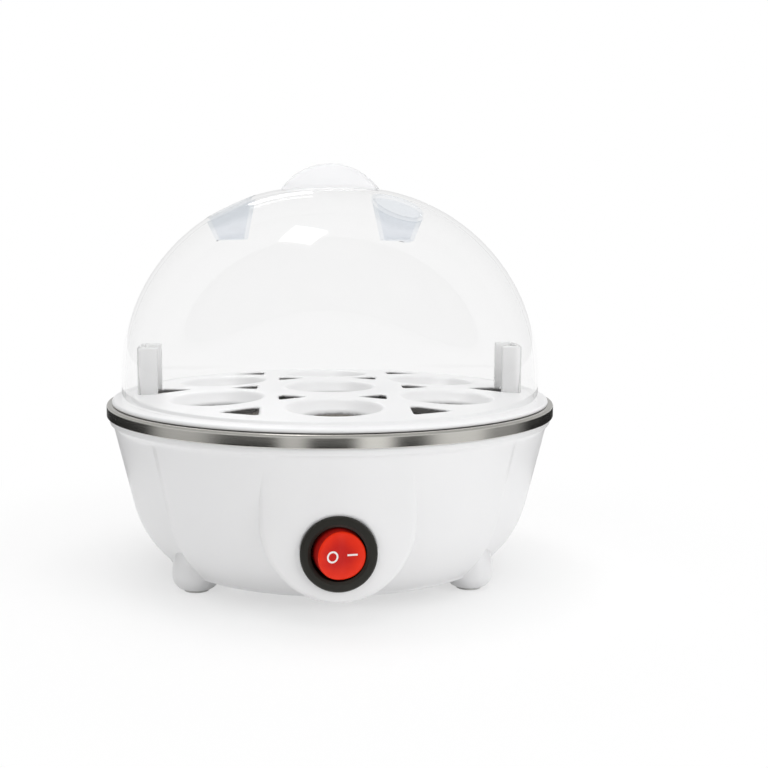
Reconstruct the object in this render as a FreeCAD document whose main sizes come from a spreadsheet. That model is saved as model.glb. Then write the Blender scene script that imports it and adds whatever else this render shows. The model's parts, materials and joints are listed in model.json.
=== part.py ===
import FreeCAD, Part
import math
import os
import re
import Sketcher

# Seven-egg electric egg cooker, in millimetres.
# Origin: middle of the footprint, on the surface that it stands on. +Z is up, the switch faces -Y.

doc = FreeCAD.newDocument("EggCooker")
sheet = doc.addObject("Spreadsheet::Sheet", "Sizes")

sizes = [
    # steel dish and its rim band
    ("rim_radius", 75, "outside of the steel rim band"),
    ("rim_band_z", 53.8, "lower edge of the rim band"),
    ("rim_band_height", 4, "height of the rim band"),
    ("rim_bend", 0.9, "bend radius at the top of the rim band"),
    ("dish_sheet", 0.6, "thickness of the dish"),
    ("dish_floor_z", 34, "inside floor of the dish"),
    ("dish_flare", 15.6, "flat floor of the dish, set in from its mouth"),
    ("dish_corner", 6, "inside corner of the dish"),
    ("rim_width", 7.4, "level part of the dish rim"),
    ("gasket_thickness", 0.8, "silicone ring under the dish rim"),
    ("rim_gap", 0.4, "housing neck to the inside of the rim band"),
    # bowl of the housing
    ("bowl_lip", 2, "bowl set in from the rim band"),
    ("bowl_rim_z", 51.5, "height of that lip"),
    ("bowl_waist_inset", 6.8, "bowl at the end of its straight wall, set in from its lip"),
    ("bowl_waist_z", 24.5, "height where the straight wall ends"),
    ("bowl_foot_inset", 19, "lower edge of the bowl, set in from its lip"),
    ("bowl_foot_z", 4.6, "height of the lower edge"),
    ("bowl_edge_round", 1, "rounding under the lower edge"),
    ("housing_wall", 2.4, "moulded wall"),
    ("floor_thickness", 4, "floor ring of the housing"),
    ("flute_depth", 2, "set-back of the side flutes at their crease"),
    ("flute_middle", 0.9, "set-back halfway along a flute"),
    ("flute_crease", 49, "crease, degrees from the front or the back"),
    ("flute_step", 2, "width of the crease, degrees"),
    # feet
    ("foot_inset", 1, "foot centres inside the lower edge"),
    ("foot_angle", 34, "front and back feet, degrees from the X axis"),
    ("foot_radius", 6.8, "stub foot"),
    ("foot_round", 2.4, "rounding at the bottom of a foot"),
    ("foot_height", 14, "foot, up into the bowl"),
    ("pad_radius", 4, "rubber pad"),
    ("pad_thickness", 1.2, "rubber pad"),
    ("pad_proud", 0.8, "pad standing out of its foot"),
    # front shield
    ("shield_inset", 2.8, "face of the shield, set in from the bowl's lip"),
    ("shield_width", 46, "width of the shield"),
    ("shield_round_z", 30.2, "centre of the round lower end"),
    # bottom cover
    ("cover_inset", 8.5, "bottom cover inside the lower edge"),
    ("cover_thickness", 1.7, "bottom cover"),
    ("cover_ledge", 7, "width of the ledge over the cover"),
    ("cover_rib_inset", 8.5, "stiffening rib on the cover, inside the opening"),
    ("cover_rib_height", 2, "stiffening rib on the cover"),
    ("fit_gap", 0.3, "loose fit between moulded pieces"),
    ("screw_inset", 3.5, "cover screws inside the cover's edge"),
    ("boss_radius", 3.4, "screw boss"),
    ("boss_height", 6, "screw boss above the floor ring"),
    ("screw_radius", 1.45, "small screw shank"),
    ("screw_head_radius", 2.8, "small screw head"),
    ("screw_head_height", 1.8, "small screw head"),
    ("screw_length", 8, "cover screw shank"),
    ("hole_gap", 0.1, "hole round a screw or stud"),
    # dish fixing
    ("stud_inset", 5, "dish studs inside the flat floor"),
    ("stud_radius", 2, "dish stud"),
    ("stud_length", 9, "dish stud"),
    ("lug_width", 12, "housing lug under the dish"),
    ("lug_thickness", 2.5, "housing lug under the dish"),
    ("lug_reach", 6, "lug inward of its stud"),
    ("washer_thickness", 0.8, "plain washer"),
    ("washer_radius", 4.5, "plain washer"),
    ("nut_radius", 4, "hexagon nut, over corners"),
    ("nut_height", 3.2, "hexagon nut"),
    # heater pack
    ("spreader_radius", 34, "aluminium heat spreader"),
    ("spreader_thickness", 2, "aluminium heat spreader"),
    ("mica_radius", 33, "mica sheets"),
    ("mica_thickness", 0.5, "mica sheets"),
    ("ribbon_outer", 31, "heating ribbon"),
    ("ribbon_inner", 14, "heating ribbon"),
    ("ribbon_thickness", 0.4, "heating ribbon"),
    ("ribbon_break", 4, "break in the ribbon ring"),
    ("tab_ring", 22, "ribbon tabs from the axis"),
    ("tab_spread", 5, "ribbon tabs to either side of the break"),
    ("tab_width", 4, "ribbon tab"),
    ("tab_thickness", 0.6, "ribbon tab"),
    ("tab_length", 8.5, "ribbon tab"),
    ("tab_gap", 0.6, "slot round a ribbon tab"),
    ("plate_radius", 30, "steel press plate"),
    ("plate_thickness", 1.2, "steel press plate"),
    ("post_radius", 2.5, "heater stud"),
    ("post_length", 10.4, "heater stud"),
    ("post_nut_radius", 4.6, "heater nut, over corners"),
    # thermostat and thermal fuse
    ("thermostat_y", 18, "thermostat centre"),
    ("thermostat_radius", 8, "thermostat can"),
    ("thermostat_height", 9.8, "thermostat can"),
    ("thermostat_flange", 28, "length of the thermostat flange"),
    ("thermostat_hole", 11.5, "flange screws from the middle"),
    ("flange_width", 7, "thermostat flange"),
    ("flange_thickness", 0.8, "thermostat flange and fuse clip"),
    ("blade_reach", 15, "thermostat blades from the middle"),
    ("blade_width", 4.8, "terminal blade"),
    ("blade_thickness", 0.8, "terminal blade"),
    ("blade_rise", 1, "thermostat blades above its base"),
    ("fuse_y", -18, "thermal fuse"),
    ("fuse_radius", 2, "thermal fuse"),
    ("fuse_length", 12, "thermal fuse"),
    ("clip_width", 6, "fuse clip"),
    ("clip_foot", 9, "fuse clip foot from the fuse"),
    ("clip_screw", 6.2, "fuse clip screw from the fuse"),
    ("seat_gap", 0.1, "round piece in its seat"),
    # switch
    ("switch_z", 22.2, "switch centre"),
    ("switch_sink", 0.8, "flat seat of the bezel behind the shield's face"),
    ("bezel_radius", 11.3, "switch bezel"),
    ("bezel_height", 2, "switch bezel"),
    ("bezel_land", 1.1, "upright edge of the bezel"),
    ("bezel_top", 9, "inner edge of the bezel's flat top"),
    ("bezel_dip", 0.6, "bevel inside the bezel"),
    ("barrel_radius", 9.9, "switch barrel"),
    ("barrel_length", 17.8, "switch barrel"),
    ("barrel_bore", 8.15, "inside of the barrel"),
    ("barrel_back", 2, "back wall of the barrel"),
    ("pivot_depth", 3.9, "rocker pivot behind the bezel's front"),
    ("pin_radius", 1.2, "rocker pin"),
    ("pin_gap", 0.08, "running fit of the rocker pin"),
    ("pin_reach", 9.3, "rocker pin ends from the middle"),
    ("terminal_spread", 5, "outer switch terminals from the middle"),
    ("terminal_reach", 25.9, "switch terminals' ends behind the bezel's seat"),
    ("terminal_gap", 0.1, "slot round a terminal"),
    ("contact_gap", 0.2, "contact arm to its contacts"),
    # rocker
    ("rocker_round", 7.9, "rocker outline"),
    ("rocker_shift", 1.05, "outline centres to either side"),
    ("rocker_face", 3.6, "middle of the rocker face in front of the pivot"),
    ("rocker_rise", 1.68, "face at its ends in front of its middle"),
    ("rocker_back", 3, "rocker behind the pivot"),
    ("rocker_tilt", 12, "rocker from its middle position, degrees"),
    ("guide_radius", 2.6, "plunger guide"),
    ("guide_back", 6, "plunger guide behind the pivot"),
    ("plunger_radius", 1.4, "plunger"),
    ("plunger_start", 1.8, "plunger, front end behind the pivot"),
    ("plunger_tip", 10.2, "plunger, round end behind the pivot"),
    ("plunger_gap", 0.2, "plunger in its guide"),
    ("spring_front", 1.5, "spring seat in front of the pivot"),
    ("spring_bore", 0.8, "inside of the spring"),
    ("lamp_radius", 1.4, "neon lamp"),
    ("lamp_length", 4.6, "neon lamp"),
    ("lamp_x", -4.2, "neon lamp beside the plunger"),
    ("lamp_gap", 0.2, "neon lamp in its pocket"),
    ("arm_pivot", 11.5, "contact arm pivot behind the rocker pivot"),
    ("arm_length", 12, "contact arm"),
    ("arm_width", 4, "contact arm"),
    ("arm_thickness", 1, "contact arm"),
    ("arm_lift", 0.1, "contact arm in front of its pivot"),
    ("arm_tilt", 6, "contact arm from its middle position, degrees"),
    ("button_radius", 1.2, "contact button"),
    ("button_height", 0.6, "contact button"),
    # rear entry
    ("gland_z", 18, "cord gland"),
    ("gland_sink", 0.8, "flat face round the gland, inside the bowl's waist"),
    ("gland_pad", 9, "flat round the gland"),
    ("gland_flange", 6.8, "gland flange"),
    ("gland_lip", 2, "gland flange thickness"),
    ("gland_radius", 5, "gland barrel"),
    ("gland_length", 9, "gland barrel"),
    ("gland_bore", 3.2, "cord hole in the gland"),
    ("block_outset", 1.2, "terminal block outside the ring of cover screws"),
    ("block_length", 18, "terminal block"),
    ("block_depth", 8, "terminal block"),
    ("block_height", 9, "terminal block"),
    ("block_spread", 4.5, "terminal block poles from the middle"),
    ("block_pole", 1.6, "wire hole of a pole"),
    ("lead_radius", 1.1, "insulated lead"),
    ("lead_straight", 8, "straight end of a lead"),
    ("route_count", 27, "steps of the leads' routing grid from the axis to the bowl's lower edge"),
    # tray
    ("tray_rest", 0.2, "gap between stacked rims"),
    ("flange_inset", 1.8, "tray flange inside the rim band"),
    ("flange_height", 1.2, "tray flange thickness"),
    ("tray_step", 6.7, "width of the tray flange outside the raised middle"),
    ("tray_rise", 2, "raised middle above the flange"),
    ("tray_plate", 1.8, "tray thickness"),
    ("tray_edge", 0.8, "rounding at the tray's edges"),
    ("skirt_gap", 3.6, "locating skirt inside the dish mouth"),
    ("skirt_depth", 4, "locating skirt below the flange"),
    ("seat_inset", 23.5, "outer egg seats inside the raised middle's edge"),
    ("hole_radius", 14.9, "egg seat at the top"),
    ("seat_radius", 18.5, "hollow of an egg seat"),
    ("throat_radius", 11.5, "open bottom of an egg seat"),
    ("collar_wall", 1.6, "wall of an egg seat"),
    ("inner_vent_inset", 15, "inner vents inside the ring of egg seats"),
    ("inner_vent", 6.5, "inner vent, corner from its middle"),
    ("outer_vent_inset", 11.5, "outer vents inside the raised middle's edge"),
    ("outer_vent", 8.6, "outer vent, corner from its middle"),
    ("tab_inset", 2, "lifting tabs inside the raised middle's edge"),
    ("tab_depth", 7, "lifting tab across"),
    ("tab_span", 16, "lifting tab along the rim"),
    ("tab_wall", 1.8, "lifting tab wall"),
    ("tab_height", 15, "lifting tab above the tray"),
    # lid
    ("dome_inset", 3.3, "dome inside the edge of the tray flange"),
    ("dome_stretch", 0.1, "height of the dome over its radius"),
    ("dome_wall", 2, "dome wall"),
    ("shoulder_inset", 6.6, "shoulder arc's centre from the axis"),
    ("crown_flattening", 43.1, "crown arc over the dome's radius"),
    ("vent_inset", 36.9, "steam vents inside the dome's base"),
    ("vent_low", 5.3, "steam vent at its lower end"),
    ("vent_high", 10.5, "steam vent cone at its upper end"),
    ("vent_drop", 17.4, "steam vent's lower end below the crown"),
    ("vent_height", 18, "steam vent cone"),
    ("vent_wall", 1.2, "steam vent wall"),
    ("vent_left", 188, "left steam vent, degrees from the X axis"),
    ("vent_right", 308, "right steam vent, degrees from the X axis"),
    ("knob_radius", 20, "half-disc knob"),
    ("knob_thickness", 7, "half-disc knob"),
    ("knob_round", 2, "rounding of the knob's edge"),
    ("knob_rise", 7.2, "knob above the crown"),
    ("knob_pin_x", 9, "knob pins from the middle"),
    ("knob_pin", 1.5, "knob pin"),
    ("knob_head", 2.6, "formed head of a knob pin"),
    ("knob_head_height", 0.8, "formed head of a knob pin"),
]

for row, (alias, number, note) in enumerate(sizes, start=1):
    sheet.set(f"A{row}", note)
    sheet.set(f"B{row}", str(number))
    sheet.setAlias(f"B{row}", alias)
doc.recompute()
aliases = {alias for alias, number, note in sizes}
parts = []

# Sizes that follow from the ones above
derived = {
    "bowl_rim_radius": "(rim_radius - bowl_lip)",
    "bowl_waist_radius": "(bowl_rim_radius - bowl_waist_inset)",
    "bowl_foot_radius": "(bowl_rim_radius - bowl_foot_inset)",
    "foot_ring": "(bowl_foot_radius - foot_inset)",
    "shield_radius": "(bowl_rim_radius - shield_inset)",
    "switch_seat": "(shield_radius - switch_sink)",
    "terminal_end": "(switch_seat - terminal_reach)",
    "gland_face": "(bowl_waist_radius - gland_sink)",
    "cover_radius": "(bowl_foot_radius - cover_inset)",
    "cover_rib_radius": "(cover_radius - cover_ledge - cover_rib_inset)",
    "screw_ring": "(cover_radius - screw_inset)",
    "block_y": "(screw_ring + block_outset)",
    "dish_mouth_radius": "(rim_radius - rim_width)",
    "dish_floor_radius": "(dish_mouth_radius - dish_flare)",
    "stud_ring": "(dish_floor_radius - stud_inset)",
    "flange_radius": "(rim_radius - flange_inset)",
    "tray_radius": "(flange_radius - tray_step)",
    "skirt_radius": "(dish_mouth_radius - skirt_gap)",
    "hole_ring": "(tray_radius - seat_inset)",
    "inner_vent_ring": "(hole_ring - inner_vent_inset)",
    "outer_vent_ring": "(tray_radius - outer_vent_inset)",
    "tab_radius": "(tray_radius - tab_inset)",
    "dome_radius": "(flange_radius - dome_inset)",
    "dome_height": "(dome_radius + dome_stretch)",
    "shoulder_radius": "(dome_radius - shoulder_inset)",
    "crown_radius": "(dome_radius + crown_flattening)",
    "vent_ring": "(dome_radius - vent_inset)",
    "route_step": "(bowl_foot_radius / route_count)",
}


# Expressions and numbers from the sheet

def driven(text):
    # the same text with every derived size written out in driving sizes
    while any(word in derived for word in re.findall(r"[a-z_]+", text)):
        text = re.sub(r"[a-z_]+", lambda word: derived.get(word[0], word[0]), text)
    return text


def linked(text):
    # the same text with every size pointing at the sheet
    return re.sub(r"[a-z_]+", lambda word: f"Sizes.{word[0]}" if word[0] in aliases else word[0], driven(text))


def size(name):
    return float(sheet.get(name)) if name in aliases else value(derived[name])


def value(text):
    # number that a text of sizes comes to
    known = aliases | derived.keys()
    numbers = re.sub(r"[a-z_]+", lambda word: f"({size(word[0])})" if word[0] in known else word[0], text)
    return FreeCAD.Units.Quantity(numbers).Value


def bind(item, **links):
    for name, text in links.items():
        item.setExpression(name, linked(text))
    return item


def place(item, x="0", y="0", z="0", axis=None, angle="0"):
    if axis:
        item.Placement = FreeCAD.Placement(FreeCAD.Vector(), FreeCAD.Rotation(FreeCAD.Vector(*axis), value(angle)))
        item.setExpression("Placement.Rotation.Angle", linked(angle))
    for name, text in (("x", x), ("y", y), ("z", z)):
        if text != "0":
            item.setExpression(f"Placement.Base.{name}", linked(text))
    return item


def keep(item):
    parts.append(item)
    return item


# Plain solids and how they are put together

turns = {"x": ((0, 1, 0), "90"), "y": ((1, 0, 0), "-90"), "z": (None, "0")}


def rod(name, radius, length, x="0", y="0", z="0", along="z"):
    # round bar that starts at x, y, z and runs along one axis
    item = bind(doc.addObject("Part::Cylinder", name), Radius=radius, Height=length)
    axis, angle = turns[along]
    return place(item, x, y, z, axis, angle)


def cone(name, start_radius, end_radius, length, x="0", y="0", z="0"):
    item = bind(doc.addObject("Part::Cone", name), Radius1=start_radius, Radius2=end_radius, Height=length)
    return place(item, x, y, z)


def slab(name, length, width, height, x="0", y="0", z="0"):
    # block with its middle at x, y and its underside at z
    item = bind(doc.addObject("Part::Box", name), Length=length, Width=width, Height=height)
    return place(item, f"({x}) - ({length}) / 2", f"({y}) - ({width}) / 2", z)


def prism(name, sides, radius, height, x="0", y="0", z="0", angle="0"):
    item = bind(doc.addObject("Part::Prism", name), Circumradius=radius, Height=height)
    item.Polygon = sides
    return place(item, x, y, z, (0, 0, 1), angle)


def fuse(name, *items):
    item = doc.addObject("Part::MultiFuse", name)
    item.Shapes = list(items)
    return item


def common(name, *items):
    item = doc.addObject("Part::MultiCommon", name)
    item.Shapes = list(items)
    return item


def cut(name, base, *tools):
    item = doc.addObject("Part::Cut", name)
    item.Base = base
    item.Tool = tools[0] if len(tools) == 1 else fuse(name + "_cutter", *tools)
    return item


def group(name, items):
    item = doc.addObject("Part::Compound", name)
    item.Links = list(items)
    return item


def ring_places(ring, first_angle, count, step):
    # x, y and angle of each place on a circle
    for index in range(count):
        angle = f"{first_angle} + {index * step}"
        yield index, f"{ring} * cos({angle})", f"{ring} * sin({angle})", angle


def circle_centre(start, end, radius, turn):
    # centre of the arc that leaves start, turns left or right and reaches end
    across = (end[0] - start[0], end[1] - start[1])
    chord = math.hypot(*across)
    depth = math.sqrt(max(radius ** 2 - chord ** 2 / 4, 0)) * (1 if turn == "left" else -1)
    return ((start[0] + end[0]) / 2 - across[1] / chord * depth, (start[1] + end[1]) / 2 + across[0] / chord * depth)


def draw(sketch, points):
    # closed outline; a point may add the radius and turn of the arc that leads to it
    corners = [(value(point[0]), value(point[1])) for point in points]
    ends = []
    for index, start in enumerate(corners):
        following = (index + 1) % len(points)
        end = corners[following]
        arc = points[following][2:]
        if not arc:
            line = Part.LineSegment(FreeCAD.Vector(*start, 0), FreeCAD.Vector(*end, 0))
            ends.append((sketch.addGeometry(line), 1, 2))
            continue
        radius = value(arc[0])
        centre = circle_centre(start, end, radius, arc[1])
        angles = [math.atan2(point[1] - centre[1], point[0] - centre[0]) for point in (start, end)]
        first, last = (0, 1) if arc[1] == "left" else (1, 0)
        circle = Part.Circle(FreeCAD.Vector(*centre, 0), FreeCAD.Vector(0, 0, 1), radius)
        edge = sketch.addGeometry(Part.ArcOfCircle(circle, angles[first], angles[last]))
        ends.append((edge, 1 + first, 1 + last))
        sketch.setExpression(
            f"Constraints[{sketch.addConstraint(Sketcher.Constraint('Radius', edge, radius))}]", linked(arc[0])
        )
    for index, (edge, start, end) in enumerate(ends):
        before = ends[index - 1]
        sketch.addConstraint(Sketcher.Constraint("Coincident", before[0], before[2], edge, start))
        for kind, text, number, ruler in zip(("DistanceX", "DistanceY"), points[index], corners[index], (-2, -1)):
            if number == 0:
                sketch.addConstraint(Sketcher.Constraint("PointOnObject", edge, start, ruler))
                continue
            at = sketch.addConstraint(Sketcher.Constraint(kind, -1, 1, edge, start, number))
            sketch.setExpression(f"Constraints[{at}]", linked(text))


def body_sketch(name, role, points):
    body = doc.addObject("PartDesign::Body", name)
    sketch = body.newObject("Sketcher::SketchObject", name + "_sketch")
    plane = next(item for item in body.Origin.OriginFeatures if item.Role == role)
    sketch.AttachmentSupport = [(plane, "")]
    sketch.MapMode = "FlatFace"
    draw(sketch, points)
    return body, sketch


def turned(name, points):
    # solid of revolution about Z from an outline of radius and height
    body, sketch = body_sketch(name, "XZ_Plane", points)
    feature = body.newObject("PartDesign::Revolution", name + "_turn")
    feature.Profile = sketch
    feature.ReferenceAxis = (sketch, ["V_Axis"])
    feature.Angle = 360
    return body


def padded(name, points, length):
    # outline in the XY plane, made thick to both sides
    body, sketch = body_sketch(name, "XY_Plane", points)
    feature = body.newObject("PartDesign::Pad", name + "_pad")
    feature.Profile = sketch
    feature.Midplane = True
    bind(feature, Length=length)
    return body


def screw(name, x, y, z, shank):
    # pan head at z with its shank going up
    head = rod(name + "_head", "screw_head_radius", "screw_head_height", x, y, f"({z}) - screw_head_height")
    return fuse(name, head, rod(name + "_shank", "screw_radius", shank, x, y, z))


# Heights that several pieces share

rim_top = "rim_band_z + rim_band_height"
gasket_top = f"{rim_top} - dish_sheet"
housing_top = f"{gasket_top} - gasket_thickness"
dish_under = "dish_floor_z - dish_sheet"
floor_low = "bowl_foot_z - bowl_edge_round"
floor_top = f"{floor_low} + floor_thickness"
cover_top = f"{floor_low} + cover_thickness"
flange_low = f"{rim_top} + tray_rest"
flange_top = f"{flange_low} + flange_height"
tray_top = f"{flange_top} + tray_rise"
dome_base = f"{flange_top} + tray_rest"
crown_z = f"{dome_base} + dome_height"


# Bowl: straight upper wall, then an arc that runs on from it down to the lower edge

def bowl_radius(height):
    rim, waist, foot = (
        (size(f"bowl_{place_name}_radius"), size(f"bowl_{place_name}_z")) for place_name in ("rim", "waist", "foot")
    )
    lean = math.atan2(rim[0] - waist[0], rim[1] - waist[1])
    if height >= waist[1]:
        return waist[0] + (height - waist[1]) * math.tan(lean)
    drop = math.atan2(waist[0] - foot[0], waist[1] - foot[1])
    radius = math.dist(waist, foot) / 2 / math.sin(drop - lean)
    centre = (waist[0] - radius * math.cos(lean), waist[1] + radius * math.sin(lean))
    return centre[0] + math.sqrt(radius ** 2 - (height - centre[1]) ** 2)


def bowl_section(height, radius):
    # closed outline at one height: front and back panels, and four flutes that start at a crease
    panel = math.radians(size("flute_crease"))
    step = math.radians(size("flute_step"))
    low = radius - size("flute_depth")
    middle = (panel + step + math.pi / 2) / 2
    quarter = [
        (0, radius), (panel / 2, radius), (panel, radius), (panel + step, low),
        (middle, radius - size("flute_middle")), (math.pi / 2, radius),
    ]
    half = quarter + [(math.pi - angle, reach) for angle, reach in reversed(quarter[:-1])]
    whole = half + [(2 * math.pi - angle, reach) for angle, reach in reversed(half[:-1])]
    spots = [FreeCAD.Vector(reach * math.sin(angle), -reach * math.cos(angle), height) for angle, reach in whole]
    edges = []
    at = 0
    for kind in "alaalaalaala":
        step_on = 2 if kind == "a" else 1
        if kind == "a":
            edges.append(Part.Arc(*spots[at:at + 3]).toShape())
        else:
            edges.append(Part.LineSegment(spots[at], spots[at + 1]).toShape())
        at += step_on
    return Part.Wire(edges)


def bowl_solid(name, inset, lowest, edge_round):
    # loft through outlines of the bowl, set in by a wall
    top = size("bowl_rim_z")
    waist = size("bowl_waist_z")
    start = max(lowest + edge_round, size("bowl_foot_z"))
    heights = [start + (waist - start) * share for share in (0, 0.25, 0.5, 0.75)]
    heights += [waist + (top - waist) * share for share in (0, 1 / 3, 2 / 3, 1)]
    sections = [bowl_section(height, bowl_radius(height) - inset) for height in heights]
    if edge_round:
        sections.insert(0, bowl_section(lowest, bowl_radius(start) - inset - edge_round))
    item = doc.addObject("Part::Feature", name)
    item.Shape = Part.makeLoft(sections, True, False)
    return item


def shield_solid(name, inset):
    # upright tongue with a round lower end and a curved face
    reach = f"shield_radius - {inset}"
    width = f"shield_width - 2 * {inset}"
    upper = slab(name + "_upper", width, reach, "bowl_rim_z - shield_round_z", "0", f"-({reach}) / 2", "shield_round_z")
    lower = rod(name + "_lower", f"({width}) / 2", reach, "0", f"-({reach})", "shield_round_z", "y")
    face = rod(name + "_face", reach, "bowl_rim_z")
    return common(name, fuse(name + "_outline", upper, lower), face)


def make_housing():
    neck_radius = "rim_radius - dish_sheet - rim_gap"
    neck_height = f"{housing_top} - bowl_rim_z"
    foot_low = "pad_proud"
    foot_points = [
        ("0", foot_low),
        ("foot_radius - foot_round", foot_low),
        ("foot_radius", f"{foot_low} + foot_round", "foot_round", "left"),
        ("foot_radius", "foot_height"),
        ("0", "foot_height"),
    ]
    feet = []
    recesses = []
    for index, x, y, angle in foot_places():
        feet.append(place(turned(f"foot_{index}", foot_points), x, y))
        recesses.append(rod(f"pad_recess_{index}", "pad_radius + fit_gap", "pad_thickness", x, y))
    outside = fuse(
        "housing_outside",
        bowl_solid("bowl_outside", 0, size("bowl_foot_z") - size("bowl_edge_round"), size("bowl_edge_round")),
        rod("neck", neck_radius, neck_height, z="bowl_rim_z"),
        shield_solid("shield", "0"),
        rod("gland_boss", "gland_pad", "gland_face - stud_ring", "0", "stud_ring", "gland_z", "y"),
        *feet,
    )
    lowest_inside = size("bowl_foot_z") - size("bowl_edge_round") + size("floor_thickness")
    hollow = cut(
        "housing_shell",
        outside,
        bowl_solid("bowl_inside", size("housing_wall"), lowest_inside, 0),
        rod("neck_bore", "bowl_rim_radius - housing_wall", neck_height, z="bowl_rim_z"),
        shield_solid("shield_inside", "housing_wall"),
        rod("cover_recess", "cover_radius + fit_gap", "cover_thickness", z=floor_low),
        rod("cover_opening", "cover_radius - cover_ledge", "floor_thickness", z=floor_low),
        rod("switch_spotface", "bezel_radius + fit_gap", "rim_radius - switch_seat", "0", "-rim_radius", "switch_z", "y"),
        rod("switch_hole", "barrel_radius + hole_gap", "barrel_length", "0", "-rim_radius", "switch_z", "y"),
        rod("gland_spotface", "gland_flange + fit_gap", "rim_radius - gland_face", "0", "gland_face", "gland_z", "y"),
        rod("gland_hole", "gland_radius + hole_gap", "rim_radius - stud_ring", "0", "stud_ring", "gland_z", "y"),
        *recesses,
    )
    bosses = []
    holes = []
    for index, x, y, angle in screw_places():
        bosses.append(rod(f"boss_{index}", "boss_radius", "boss_height", x, y, floor_top))
        holes.append(rod(f"boss_hole_{index}", "screw_radius + hole_gap", "screw_length", x, y, cover_top))
    for index, x, y, angle in stud_places():
        inner = "stud_ring - lug_reach"
        lug = slab(f"lug_{index}", f"bowl_rim_radius - ({inner})", "lug_width", "lug_thickness")
        bar_z = f"{dish_under} - lug_thickness"
        corner_x = f"({inner}) * cos({angle}) + lug_width / 2 * sin({angle})"
        corner_y = f"({inner}) * sin({angle}) - lug_width / 2 * cos({angle})"
        place(lug, corner_x, corner_y, bar_z, (0, 0, 1), angle)
        bosses.append(common(f"lug_end_{index}", lug, bowl_solid(f"lug_limit_{index}", size("fit_gap"), lowest_inside, 0)))
        holes.append(rod(f"lug_hole_{index}", "stud_radius + hole_gap", "lug_thickness", x, y, bar_z))
    keep(cut("base_housing", fuse("housing_with_bosses", hollow, *bosses), *holes))


def foot_places():
    for index, (side, turn) in enumerate(((1, 0), (-1, 180), (1, 180), (-1, 360))):
        angle = f"{turn} + {side} * foot_angle"
        yield index, f"foot_ring * cos({angle})", f"foot_ring * sin({angle})", angle


def screw_places():
    return ring_places("screw_ring", "45", 4, 90)


def stud_places():
    return ring_places("stud_ring", "90", 3, 120)


def make_bottom():
    cover = turned("cover_disc", [
        ("0", floor_low),
        ("cover_radius", floor_low),
        ("cover_radius", cover_top),
        ("cover_rib_radius + housing_wall", cover_top),
        ("cover_rib_radius + housing_wall", f"{cover_top} + cover_rib_height"),
        ("cover_rib_radius", f"{cover_top} + cover_rib_height"),
        ("cover_rib_radius", cover_top),
        ("0", cover_top),
    ])
    holes = []
    screws = []
    pads = []
    for index, x, y, angle in screw_places():
        holes.append(rod(f"cover_hole_{index}", "screw_radius + hole_gap", "cover_thickness", x, y, floor_low))
        screws.append(screw(f"cover_screw_{index}", x, y, floor_low, "screw_length"))
    for index, x, y, angle in foot_places():
        pads.append(rod(f"foot_pad_{index}", "pad_radius", "pad_thickness", x, y))
    keep(cut("bottom_cover", cover, *holes))
    keep(group("cover_screws", screws))
    keep(group("foot_pads", pads))


def make_dish():
    wall_foot = "dish_floor_radius + dish_corner"
    bend_z = "dish_floor_z + dish_corner"
    keep(turned("heating_dish", [
        ("0", "dish_floor_z"),
        ("dish_floor_radius", "dish_floor_z"),
        (wall_foot, bend_z, "dish_corner", "left"),
        ("dish_mouth_radius", rim_top),
        ("rim_radius - rim_bend", rim_top),
        ("rim_radius", f"{rim_top} - rim_bend", "rim_bend", "right"),
        ("rim_radius", "rim_band_z"),
        ("rim_radius - dish_sheet", "rim_band_z"),
        ("rim_radius - dish_sheet", gasket_top),
        ("dish_mouth_radius + dish_sheet", gasket_top),
        (f"{wall_foot} + dish_sheet", bend_z),
        ("dish_floor_radius", dish_under, "dish_corner + dish_sheet", "right"),
        ("0", dish_under),
    ]))
    inner = "bowl_rim_radius - housing_wall"
    outer = "rim_radius - dish_sheet - rim_gap"
    keep(turned("dish_gasket", [(inner, housing_top), (outer, housing_top), (outer, gasket_top), (inner, gasket_top)]))
    studs = []
    washers = []
    nuts = []
    washer_top = f"{dish_under} - lug_thickness"
    nut_top = f"{washer_top} - washer_thickness"
    for index, x, y, angle in stud_places():
        studs.append(rod(f"dish_stud_{index}", "stud_radius", "stud_length", x, y, f"{dish_under} - stud_length"))
        washers.append(washer(f"dish_washer_{index}", "stud_radius", x, y, washer_top))
        nuts.append(nut(f"dish_nut_{index}", "nut_radius", "stud_radius", x, y, nut_top))
    keep(group("dish_studs", studs))
    keep(group("dish_washers", washers))
    keep(group("dish_nuts", nuts))


def washer(name, bore, x, y, top):
    low = f"{top} - washer_thickness"
    disc = rod(name + "_disc", "washer_radius", "washer_thickness", x, y, low)
    return cut(name, disc, rod(name + "_bore", f"{bore} + hole_gap", "washer_thickness", x, y, low))


def nut(name, radius, bore, x, y, top):
    low = f"{top} - nut_height"
    hexagon = prism(name + "_hexagon", 6, radius, "nut_height", x, y, low)
    return cut(name, hexagon, rod(name + "_bore", f"{bore} + hole_gap", "nut_height", x, y, low))


# Heater pack: layers that hang under the dish on one stud

spreader_low = f"{dish_under} - spreader_thickness"
upper_mica_low = f"{spreader_low} - mica_thickness"
ribbon_low = f"{upper_mica_low} - ribbon_thickness"
lower_mica_low = f"{ribbon_low} - mica_thickness"
plate_low = f"{lower_mica_low} - plate_thickness"


def layer(name, radius, thickness, low, *more_holes):
    disc = rod(name + "_disc", radius, thickness, z=low)
    return cut(name, disc, rod(name + "_bore", "post_radius + hole_gap", thickness, z=low), *more_holes)


def tab_slots(name, thickness, low):
    for side in (-1, 1):
        yield slab(
            f"{name}_slot_{side + 1}", "tab_thickness + 2 * tab_gap", "tab_width + 2 * tab_gap", thickness,
            "tab_ring", f"{side} * tab_spread", low,
        )


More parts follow.
